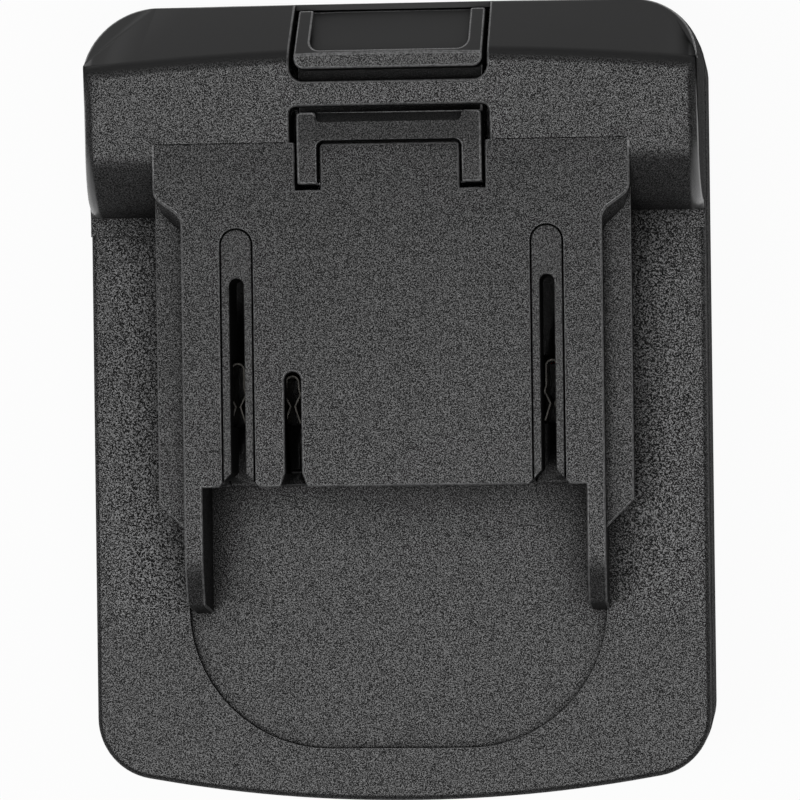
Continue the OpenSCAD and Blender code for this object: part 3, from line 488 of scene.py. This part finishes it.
def edge_highlight_plastic(name, colour):
    """Edges paler and shinier than the faces: the paler colour is a painted edge highlight, and the lower
    roughness is wear from handling.
    """
    material, tree, shader, where = new_material(name)
    grain = place_group(tree, grain_group(), Vector=where, Size=0.3 * MM)
    base = mix_colour(tree, grain.outputs["Tone"], *shade_range(colour, 0.55, 1.5))
    tree.links.new(base, shader.inputs["Base Color"])
    rough = ramp(tree, grain.outputs["Tone"], 0.0, 1.0, 0.42, 0.25)
    tree.links.new(rough, shader.inputs["Roughness"])
    bump(tree, shader, grain.outputs["Relief"], 0.006 * MM)
    return material


def plated_metal(name, colour, roughness):
    """Bright plated or zinc-coated metal with fine drawing lines."""
    material, tree, shader, where = new_material(name)
    drawn = (9000.0, 700.0, 9000.0)
    stretch = add(tree, "ShaderNodeMapping", {"Vector": where, "Scale": drawn})
    lines = add(tree, "ShaderNodeTexNoise", {"Vector": stretch.outputs[0], "Scale": 1.0, "Detail": 3.0})
    grain = place_group(tree, grain_group(), Vector=where, Size=0.5 * MM)
    base = mix_colour(tree, grain.outputs["Drift"], *shade_range(colour, 0.86, 1.06))
    tree.links.new(base, shader.inputs["Base Color"])
    shader.inputs["Metallic"].default_value = 1.0
    rough = ramp(tree, lines.outputs[0], 0.3, 0.7, roughness - 0.06, roughness + 0.08)
    tree.links.new(rough, shader.inputs["Roughness"])
    bump(tree, shader, lines.outputs[0], 0.004 * MM)
    return material


def wire_jacket(name, colour):
    """Soft extruded wire insulation."""
    material, tree, shader, where = new_material(name)
    grain = place_group(tree, grain_group(), Vector=where, Size=0.3 * MM)
    base = mix_colour(tree, grain.outputs["Drift"], *shade_range(colour, 0.85, 1.1))
    tree.links.new(base, shader.inputs["Base Color"])
    rough = ramp(tree, grain.outputs["Tone"], 0.0, 1.0, 0.42, 0.55)
    tree.links.new(rough, shader.inputs["Roughness"])
    bump(tree, shader, grain.outputs["Relief"], 0.01 * MM)
    return material


# Shape helpers
def joined_up(node):
    """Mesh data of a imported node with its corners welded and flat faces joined."""
    bm = bmesh.new()
    bm.from_mesh(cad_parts[node].data)
    bmesh.ops.remove_doubles(bm, verts=bm.verts, dist=WELD)
    bmesh.ops.dissolve_degenerate(bm, edges=bm.edges, dist=WELD)
    bmesh.ops.dissolve_limit(bm, angle_limit=FLAT, verts=bm.verts, edges=bm.edges)
    bm.normal_update()
    return bm


def new_piece(name, bm, materials):
    """New object in the scene from a finished mesh."""
    mesh = bpy.data.meshes.new(name)
    bm.to_mesh(mesh)
    bm.free()
    for material in materials:
        mesh.materials.append(material)
    piece = bpy.data.objects.new(name, mesh)
    bpy.context.scene.collection.objects.link(piece)
    return piece


def even_out(radii):
    """Gives edges that run on from one another the radius of most of their length."""
    root = {e: e for e in radii}

    def find(e):
        while root[e] is not e:
            root[e] = root[root[e]]
            e = root[e]
        return e

    for v in {v for e in radii for v in e.verts}:
        meet = [e for e in v.link_edges if e in radii]
        ways = [(e.other_vert(v).co - v.co).normalized() for e in meet]
        for i, one in enumerate(meet):
            for j in range(i):
                if ways[i].dot(ways[j]) < -RUN_ON:
                    root[find(one)] = find(meet[j])
    runs = {}
    for e, r in radii.items():
        share = runs.setdefault(find(e), {})
        share[r] = share.get(r, 0.0) + e.calc_length()
    for e in radii:
        share = runs[find(e)]
        radii[e] = max(share, key=share.get)


def rounded_piece(name, node, body, materials, radius_at, slot_at=None, shape=None, painted_edge=None):
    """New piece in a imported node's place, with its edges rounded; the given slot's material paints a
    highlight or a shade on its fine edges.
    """
    edges = settings()[1]
    bm = joined_up(node)
    if shape:
        shape(bm)
    soft = bm.edges.layers.float.new("soft_edge")
    fine = bm.edges.layers.float.new("fine_edge")
    radii = {}
    for e in bm.edges:
        if len(e.link_faces) == 2 and e.calc_face_angle(0.0) > SHARP:
            r = radius_at(e)
            if r > 0:
                radii[e] = r
            else:
                e.smooth = False
    even_out(radii)
    widest = {soft: 0.0, fine: 0.0}
    for e, r in radii.items():
        layer = soft if r > edges.edge * SOFT_SHARE else fine
        e[layer] = r
        widest[layer] = max(widest[layer], r)
    for e in radii:
        for layer, most in widest.items():
            if e[layer] > 0:
                e[layer] /= most
    for f in bm.faces:
        f.smooth = True
        if slot_at:
            f.material_index = slot_at(f)
    widths = (("Soft edges", "soft_edge", widest[soft]), ("Fine edges", "fine_edge", widest[fine]))
    piece = new_piece(name, bm, materials)
    for label, layer, most in widths:
        if most > 0:
            bevel = piece.modifiers.new(label, "BEVEL")
            bevel.limit_method = "WEIGHT"
            bevel.edge_weight = layer
            bevel.width = most
            bevel.segments = edges.steps
            bevel.use_clamp_overlap = False
            bevel.loop_slide = False
            bevel.miter_outer = "MITER_SHARP"
            # The fine edges take the given slot's material, a painted highlight or a painted shade
            if painted_edge is not None and layer == "fine_edge":
                bevel.material = painted_edge
    shade = piece.modifiers.new("Face normals", "WEIGHTED_NORMAL")
    shade.keep_sharp = True
    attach(piece, body)
    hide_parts(node)
    return piece


def outer_edges(radius):
    """Rule that rounds every outward edge alike and leaves the inward ones sharp."""
    return lambda e: radius if e.is_convex else 0.0


def round_corners(bm, x, y, low, radius):
    """Rounds a mirrored pair of upright corners above a height."""
    chosen = []
    for e in bm.edges:
        m = middle(e)
        in_place = abs(abs(m.x) - x) < NEAR and abs(m.y - y) < NEAR
        if in_place and m.z > low and upright(e):
            chosen.append(e)
    bmesh.ops.bevel(
        bm, geom=chosen, offset=radius, offset_type="OFFSET",
        segments=CORNER_STEPS, profile=0.5, affect="EDGES",
    )
    bm.normal_update()


def cut_line(bm, y, start, end, z, depth):
    """Cuts a fine vee line along a mirrored pair of edges that run across the part."""
    near = 0.05 * MM
    for e in list(bm.edges):
        a, b = sorted(e.verts, key=lambda v: abs(v.co.x))
        level = all(abs(v.co.y - y) < near and abs(v.co.z - z) < near for v in (a, b))
        if not level or abs(a.co.x) > start or abs(b.co.x) < end or a.co.x * b.co.x < 0:
            continue
        length = abs(b.co.x) - abs(a.co.x)
        first = bmesh.utils.edge_split(e, a, (start - abs(a.co.x)) / length)[1]
        length = abs(b.co.x) - start
        part = next(k for k in first.link_edges if b in k.verts)
        second = bmesh.utils.edge_split(part, first, (end - start) / length)[1]
        line = next(k for k in first.link_edges if second in k.verts)
        made = bmesh.ops.bevel(
            bm, geom=[line], offset=depth, offset_type="OFFSET", segments=2, profile=0.5, affect="EDGES",
        )
        for v in made["verts"]:
            # The vee's own points lie on the line, and its two lips beside it
            if abs(v.co.y - y) < 0.2 * depth:
                v.co.z -= depth
    bm.normal_update()


def upright(e):
    a, b = (v.co for v in e.verts)
    return abs(a.z - b.z) > 0.95 * (a - b).length


def middle(e):
    return (e.verts[0].co + e.verts[1].co) / 2


class ADAPTER_OT_upper_housing(bpy.types.Operator):
    """Builds the upper housing with its rail platform and head"""

    bl_idname = "adapter.upper_housing"
    bl_label = "Upper housing"

    def execute(self, context):
        finish, edges, _ = settings()
        opening_x = 12.2 * MM
        lip_y = 47.3 * MM
        mouth_x = (28 * MM, 30 * MM)
        mouth_y = 48.1 * MM
        foot_z = DECK_Z + 0.3 * MM
        foot_top = 27.35 * MM
        foot_x = 25 * MM
        foot_y = 21 * MM
        cheek_x = 34 * MM
        cheek_foot = DECK_Z + 0.05 * MM
        crest_x = 13 * MM
        crest_y = 38 * MM
        crest_end = 39.95 * MM
        slope_side_x = 36 * MM
        slope_side_y = 41.2 * MM
        rim_x = 30 * MM
        rim_y = -44 * MM
        recess_y = -10 * MM
        recess_share = 0.6
        fin_reach = 2.2 * MM
        fin_y = 25 * MM
        below_platform = PLATFORM_Z - 0.3 * MM

        def left_sharp(m):
            across, along = abs(m.x), m.y
            in_lip = across < opening_x and along > lip_y
            on_joint = abs(along - JOINT_Y) < 0.15 * MM and across > opening_x and m.z > below_platform
            at_mouth = mouth_x[0] < across < mouth_x[1] and along > mouth_y
            on_foot = abs(m.z - foot_z) < NEAR and along < foot_y and across > foot_x
            return in_lip or on_joint or at_mouth or on_foot

        def radius_at(e):
            m = middle(e)
            if not e.is_convex or left_sharp(m):
                return 0.0
            a, b = (f.normal for f in e.link_faces)
            across, along = abs(m.x), m.y
            forward = max(a.y, b.y)
            on_deck = abs(m.z - DECK_Z) < NEAR
            on_side = max(abs(a.x), abs(b.x)) > 0.9
            if across > cheek_x and m.z > cheek_foot and on_side and along < crest_end:
                return edges.cheek if m.z > foot_top else 0.0
            if along > crest_y and min(a.z, b.z) > 0.5 and forward > 0.5 and across > crest_x:
                return edges.crest
            if across > slope_side_x and crest_end < along < slope_side_y and forward > 0.7:
                return 0.0
            if on_deck and max(a.z, b.z) > 0.99 and (across > rim_x or along < rim_y):
                return edges.rim
            if on_deck and along < recess_y:
                return edges.fine * recess_share
            if m.z > below_platform and abs(across - SLOT_X) < fin_reach and along < fin_y:
                return edges.fine
            return edges.edge

        def lean_shoulders(bm):
            # The walls lean back to the flanges, and less towards the flanges' outer edges
            lean = 1.8 * MM
            fade = 1.0 * MM
            outer_x = 28.55 * MM
            bm.normal_update()
            for v in bm.verts:
                across = abs(v.co.x)
                if abs(v.co.z - FLANGE_Z) > 0.05 * MM or not 25.2 * MM < across < 28.7 * MM:
                    continue
                walls = [f for f in v.link_faces if f.normal.z < 0.99]
                if 21.5 * MM < v.co.y < 25.4 * MM and all(abs(f.normal.z) < 0.05 for f in walls):
                    share = (outer_x - across) / fade
                    v.co.y -= lean * max(0.0, min(1.0, share))
            bm.normal_update()

        def shape(bm):
            lean_shoulders(bm)
            # The latch's pocket and the tongue between the hook's legs have round corners
            round_corners(bm, 12.0 * MM, 35.45 * MM, 34.5 * MM, edges.corner)
            round_corners(bm, 8.35 * MM, 31.0 * MM, 34.0 * MM, edges.corner * 0.5)
            cut_line(bm, JOINT_Y, 12.6 * MM, 28.0 * MM, PLATFORM_Z, 0.06 * MM)

        deck = grained_plastic(
            "Grained deck plastic", finish.plastic, finish.grain_size, 0.95,
            zone=deck_zone, smooth=finish.satin,
        )
        rounded_piece(
            "upper_shell", "upper_housing", "housing",
            [deck, edge_highlight_plastic("Highlit housing edges", finish.painted_edge)],
            radius_at, shape=shape, painted_edge=1,
        )
        return {"FINISHED"}


class ADAPTER_OT_lower_housing(bpy.types.Operator):
    """Builds the lower housing with its battery channel"""

    bl_idname = "adapter.lower_housing"
    bl_label = "Lower housing"

    def execute(self, context):
        finish, edges, _ = settings()
        rounded_piece(
            "lower_shell", "lower_housing", "housing",
            [grained_plastic("Grained socket plastic", finish.plastic, finish.grain_size)],
            outer_edges(edges.edge),
        )
        return {"FINISHED"}


class ADAPTER_OT_latch(bpy.types.Operator):
    """Builds the release latch with its button and hook"""

    bl_idname = "adapter.latch"
    bl_label = "Release latch"

    def execute(self, context):
        finish, edges, _ = settings()
        hook_x = 12 * MM
        hook_y = (30 * MM, 36 * MM)
        hook_foot = PLATFORM_Z - 1 * MM
        step_x = 8.8 * MM
        step_y = (33.4 * MM, 34.65 * MM)
        bar_x = 8.7 * MM
        bar_y = 31.35 * MM
        # The latch's edges get a still paler painted edge highlight
        edge_highlight_shade = 1.5

        def radius_at(e):
            m = middle(e)
            across = abs(m.x)
            if upright(e) and across < hook_x and hook_y[0] < m.y < hook_y[1] and m.z > hook_foot:
                return edges.corner * 0.6
            # The step in the bar's top keeps its sharp edges
            if step_y[0] < m.y < step_y[1] and m.z > PLATFORM_Z - NEAR and across < step_x:
                return 0.0
            if abs(m.y - bar_y) < NEAR and m.z > PLATFORM_Z:
                return edges.fine
            return edges.edge if e.is_convex else 0.0

        def shape(bm):
            # Round inside corners where the legs leave the bar
            round_corners(bm, bar_x, bar_y, 34.0 * MM, edges.corner)

        def slot_at(f):
            return 1 if f.calc_center_median().y > hook_y[1] else 0

        size = finish.grain_size
        rounded_piece(
            "latch_body", "release_latch", "latch",
            [
                grained_plastic("Grained latch plastic", finish.latch, size, 0.7, shine=0.7),
                grained_plastic("Button plastic", finish.plastic, size, 0.74, smooth=finish.satin),
                edge_highlight_plastic("Highlit latch edges", [c * edge_highlight_shade for c in finish.painted_edge]),
            ],
            radius_at, slot_at, shape=shape, painted_edge=2,
        )
        return {"FINISHED"}


class ADAPTER_OT_springs(bpy.types.Operator):
    """Winds the two latch springs"""

    bl_idname = "adapter.springs"
    bl_label = "Latch springs"

    def execute(self, context):
        finish = settings()[0]
        steel = plated_metal("Spring steel", finish.steel, 0.3)
        for name, node in (("spring_left", "latch_spring_left"), ("spring_right", "latch_spring_right")):
            low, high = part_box(node)
            self.wind(name, node, low, high, steel)
        return {"FINISHED"}

    def wind(self, name, node, low, high, material):
        wire = 0.6 * MM
        turns = 7
        rings = 28
        sides = 12
        centre = (low + high) / 2
        radius = (high.y - low.y - wire) / 2
        bottom, top = low.z + wire / 2, high.z - wire / 2
        bm = bmesh.new()
        count = turns * rings
        loops = []
        for k in range(count + 1):
            a = 2 * math.pi * k / rings
            out = Vector((math.cos(a), math.sin(a), 0))
            at = Vector((centre.x, centre.y, bottom + (top - bottom) * k / count)) + out * radius
            loops.append([
                bm.verts.new(at + (out * math.cos(b) + Vector((0, 0, 1)) * math.sin(b)) * wire / 2)
                for b in (2 * math.pi * s / sides for s in range(sides))
            ])
        for one, two in zip(loops, loops[1:]):
            for s in range(sides):
                t = (s + 1) % sides
                bm.faces.new((one[s], two[s], two[t], one[t]))
        bm.faces.new(loops[0])
        bm.faces.new(reversed(loops[-1]))
        bmesh.ops.recalc_face_normals(bm, faces=bm.faces)
        for f in bm.faces:
            f.smooth = len(f.verts) == 4
        piece = new_piece(name, bm, [material])
        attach(piece, "housing")
        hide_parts(node)
        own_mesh(piece)


class ADAPTER_OT_terminal_block(bpy.types.Operator):
    """Builds the terminal block and the plate that keeps its clips"""

    bl_idname = "adapter.terminal_block"
    bl_label = "Terminal block"

    def execute(self, context):
        finish, edges, _ = settings()
        rounded_piece(
            "slot_block", "terminal_block", "housing",
            [grained_plastic("Grained block plastic", finish.block, finish.grain_size, 0.6)],
            outer_edges(edges.fine),
        )
        rounded_piece(
            "clip_plate", "clip_retainer", "housing",
            [grained_plastic("Retainer plastic", finish.insulator, finish.grain_size, 0.5)],
            outer_edges(edges.fine),
        )
        return {"FINISHED"}


class ADAPTER_OT_contacts(bpy.types.Operator):
    """Builds the plated clips, the blades and the blade holder"""

    bl_idname = "adapter.contacts"
    bl_label = "Contacts"

    def execute(self, context):
        finish, edges, _ = settings()
        # The clips' nickel is darkened as painted shade deep in the slots, and their tops and edges darker
        # still
        nickel_shade = 0.3
        top_shade = 0.07
        sheet_edge = outer_edges(0.08 * MM)
        nickel = plated_metal("Nickel plate", finish.nickel, 0.24)
        shaded_nickel = plated_metal("Shaded nickel", [c * nickel_shade for c in finish.nickel], 0.3)
        shaded_top = plated_metal("Shaded clip tops", [c * top_shade for c in finish.nickel], 0.5)

        # Top faces take the darker painted-shade nickel
        def clip_slot(f):
            return 1 if abs(f.normal.z) > 0.9 else 0

        for node in ("positive_clip", "negative_clip", "signal_clip"):
            rounded_piece(
                node + "_sheet", node, "housing", [shaded_nickel, shaded_top],
                sheet_edge, clip_slot, painted_edge=1,
            )
        for node in ("positive_blade", "negative_blade", "signal_blade"):
            rounded_piece(node + "_bar", node, "housing", [nickel], sheet_edge)
        rounded_piece(
            "blade_carrier", "blade_holder", "housing",
            [grained_plastic("Holder plastic", finish.insulator, finish.grain_size, 0.6)],
            outer_edges(edges.edge),
        )
        return {"FINISHED"}


class ADAPTER_OT_wires(bpy.types.Operator):
    """Gives the three inner wires their insulation"""

    bl_idname = "adapter.wires"
    bl_label = "Wires"

    def execute(self, context):
        for node, slot, colour in (
            ("positive_wire", "red_insulation", (0.42, 0.012, 0.010)),
            ("negative_wire", "black_insulation", (0.012, 0.012, 0.012)),
            ("signal_wire", "yellow_insulation", (0.62, 0.40, 0.015)),
        ):
            self.lay(node, slot, wire_jacket(node.replace("_", " ") + " insulation", colour))
        return {"FINISHED"}

    def lay(self, node, slot, material):
        cut_end = math.radians(60)
        end_crease = 0.8
        bm = bmesh.new()
        bm.from_mesh(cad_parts[node].data)
        bmesh.ops.remove_doubles(bm, verts=bm.verts, dist=WELD)
        bmesh.ops.join_triangles(
            bm, faces=bm.faces,
            angle_face_threshold=math.radians(20), angle_shape_threshold=math.radians(40),
        )
        crease = bm.edges.layers.float.new("crease_edge")
        for e in bm.edges:
            if len(e.link_faces) == 2 and e.calc_face_angle(0.0) > cut_end:
                e[crease] = end_crease
        for f in bm.faces:
            f.smooth = True
        piece = new_piece(node + "_jacket", bm, [material])
        round_off = piece.modifiers.new("Round wire", "SUBSURF")
        round_off.levels = round_off.render_levels = 2
        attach(piece, "housing")
        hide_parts(node)


class ADAPTER_OT_screws(bpy.types.Operator):
    """Builds the case, block and holder screws"""

    bl_idname = "adapter.screws"
    bl_label = "Screws"

    def execute(self, context):
        finish = settings()[0]
        zinc = plated_metal("Zinc plated steel", finish.steel, 0.32)
        screw_edge = outer_edges(0.15 * MM)
        for node in ("case_screws", "block_screws", "holder_screws"):
            rounded_piece(node + "_set", node, "housing", [zinc], screw_edge)
        return {"FINISHED"}


class ADAPTER_OT_stage(bpy.types.Operator):
    """Sets up the floor, the light and the camera"""

    bl_idname = "adapter.stage"
    bl_label = "Stage"

    def execute(self, context):
        stage = settings()[2]
        scene = context.scene
        scene.view_settings.view_transform = "Standard"
        self.floor(scene)
        self.world(scene, stage)
        self.lamps(scene, stage)
        self.camera(scene, stage)
        return {"FINISHED"}

    def floor(self, scene):
        reach = 3.0
        drop = 0.2 * MM
        paper_grey = 0.86
        glow_share = 0.95
        mesh = bpy.data.meshes.new("floor")
        corners = [(-reach, -reach, 0), (reach, -reach, 0), (reach, reach, 0), (-reach, reach, 0)]
        mesh.from_pydata(corners, [], [(0, 1, 2, 3)])
        floor = bpy.data.objects.new("floor", mesh)
        floor.location.z = -drop
        scene.collection.objects.link(floor)
        material = bpy.data.materials.new("Pale floor")
        material.use_nodes = True
        tree = material.node_tree
        tree.nodes.clear()
        out = tree.nodes.new("ShaderNodeOutputMaterial")
        paper = add(tree, "ShaderNodeBsdfDiffuse", {"Color": grey(paper_grey)})
        glow = add(tree, "ShaderNodeEmission", {"Color": grey(1.0), "Strength": 1.0})
        clear = add(tree, "ShaderNodeBsdfTransparent")
        # Seen directly or in a reflection the floor is white, and it keeps the part's shadow
        path = add(tree, "ShaderNodeLightPath").outputs
        seen = math_node(tree, "MAXIMUM", path["Is Camera Ray"], path["Is Transmission Ray"])
        seen = math_node(tree, "MAXIMUM", seen, path["Is Glossy Ray"])
        share = product(tree, seen, glow_share)
        top = add(tree, "ShaderNodeMixShader", {0: share, 1: paper.outputs[0], 2: glow.outputs[0]})
        # From below the floor is clear
        facing = add(tree, "ShaderNodeNewGeometry").outputs["Backfacing"]
        both = add(tree, "ShaderNodeMixShader", {0: facing, 1: top.outputs[0], 2: clear.outputs[0]})
        tree.links.new(both.outputs[0], out.inputs["Surface"])
        mesh.materials.append(material)

    def world(self, scene, stage):
        world = bpy.data.worlds.new("Studio")
        scene.world = world
        world.use_nodes = True
        tree = world.node_tree
        tree.nodes.clear()
        out = tree.nodes.new("ShaderNodeOutputWorld")
        fill = add(tree, "ShaderNodeBackground", {"Color": grey(1.0), "Strength": stage.fill})
        white = add(tree, "ShaderNodeBackground", {"Color": grey(1.0), "Strength": 1.0})
        path = add(tree, "ShaderNodeLightPath").outputs
        seen = math_node(tree, "MAXIMUM", path["Is Camera Ray"], path["Is Transmission Ray"])
        # Reflections show the white surroundings only low down, so that the room above stays dark
        way = axes_of(tree, add(tree, "ShaderNodeTexCoord").outputs["Generated"])
        low = ramp(tree, way["Z"], 0.3, 0.05)
        gloss = product(tree, path["Is Glossy Ray"], low)
        seen = math_node(tree, "MAXIMUM", seen, gloss)
        both = add(tree, "ShaderNodeMixShader", {0: seen, 1: fill.outputs[0], 2: white.outputs[0]})
        tree.links.new(both.outputs[0], out.inputs["Surface"])

    def lamps(self, scene, stage):
        aim = Vector((0, 0, 0.03))
        # Place, width and length in metres, and share of the softbox power
        for name, x, y, z, wide, long, share in (
            ("softbox_left", -0.235, -0.11, 0.75, 0.2, 0.35, 1.0),
            ("softbox_right", 0.1, -0.11, 0.75, 0.2, 0.35, 1.0),
            ("side_left", -0.6, 0.0, 0.45, 0.3, 0.6, 0.25),
            ("side_right", 0.6, 0.0, 0.45, 0.3, 0.6, 0.25),
            ("front", 0.0, 0.5, 0.5, 0.7, 0.3, 0.5),
        ):
            data = bpy.data.lights.new(name, "AREA")
            data.shape = "RECTANGLE"
            data.size, data.size_y = wide, long
            data.energy = stage.key * share
            lamp = bpy.data.objects.new(name, data)
            lamp.location = (x, y, z)
            lamp.rotation_mode = "QUATERNION"
            lamp.rotation_quaternion = (aim - lamp.location).to_track_quat("-Z", "Y")
            scene.collection.objects.link(lamp)

    def camera(self, scene, stage):
        data = bpy.data.cameras.new("camera")
        camera = bpy.data.objects.new("camera", data)
        scene.collection.objects.link(camera)
        up = Vector((math.sin(stage.roll), math.cos(stage.roll), 0))
        right = Vector((math.cos(stage.roll), -math.sin(stage.roll), 0))
        back = right * math.sin(stage.tilt) + Vector((0, 0, 1)) * math.cos(stage.tilt)
        across = up.cross(back)
        target = Vector((0.15 * MM, 0.26 * MM, DECK_Z))
        camera.location = target + back * stage.distance
        camera.rotation_mode = "QUATERNION"
        camera.rotation_quaternion = Matrix((across, up, back)).transposed().to_quaternion()
        data.sensor_width = 36.0
        data.lens = data.sensor_width * stage.distance / stage.view_width
        data.clip_start, data.clip_end = 0.01, 20.0
        scene.camera = camera


class ADAPTER_PT_panel(bpy.types.Panel):
    """Lists the adapter's pieces and settings"""

    bl_idname = "ADAPTER_PT_panel"
    bl_label = "Battery adapter"
    bl_space_type = "VIEW_3D"
    bl_region_type = "UI"
    bl_category = "Adapter"

    def draw(self, context):
        column = self.layout.column()
        for operator in OPERATORS:
            column.operator(operator.bl_idname)
        for holder in ("adapter_finish", "adapter_edges", "adapter_stage"):
            values = getattr(context.scene, holder)
            for name in values.bl_rna.properties.keys():
                if name not in {"rna_type", "name"}:
                    column.prop(values, name)


OPERATORS = (
    ADAPTER_OT_stage,
    ADAPTER_OT_upper_housing,
    ADAPTER_OT_lower_housing,
    ADAPTER_OT_latch,
    ADAPTER_OT_springs,
    ADAPTER_OT_terminal_block,
    ADAPTER_OT_contacts,
    ADAPTER_OT_wires,
    ADAPTER_OT_screws,
)
GROUPS = (AdapterFinish, AdapterEdges, AdapterStage)


def register():
    for cls in (*GROUPS, *OPERATORS, ADAPTER_PT_panel):
        bpy.utils.register_class(cls)
    bpy.types.Scene.adapter_finish = PointerProperty(type=AdapterFinish)
    bpy.types.Scene.adapter_edges = PointerProperty(type=AdapterEdges)
    bpy.types.Scene.adapter_stage = PointerProperty(type=AdapterStage)


def unregister():
    del bpy.types.Scene.adapter_finish
    del bpy.types.Scene.adapter_edges
    del bpy.types.Scene.adapter_stage
    for cls in reversed((*GROUPS, *OPERATORS, ADAPTER_PT_panel)):
        bpy.utils.unregister_class(cls)


def main():
    register()
    bpy.ops.adapter.stage()
    bpy.ops.adapter.upper_housing()
    bpy.ops.adapter.lower_housing()
    bpy.ops.adapter.latch()
    bpy.ops.adapter.springs()
    bpy.ops.adapter.terminal_block()
    bpy.ops.adapter.contacts()
    bpy.ops.adapter.wires()
    bpy.ops.adapter.screws()
    bpy.context.view_layer.update()


if __name__ == "__main__":
    main()
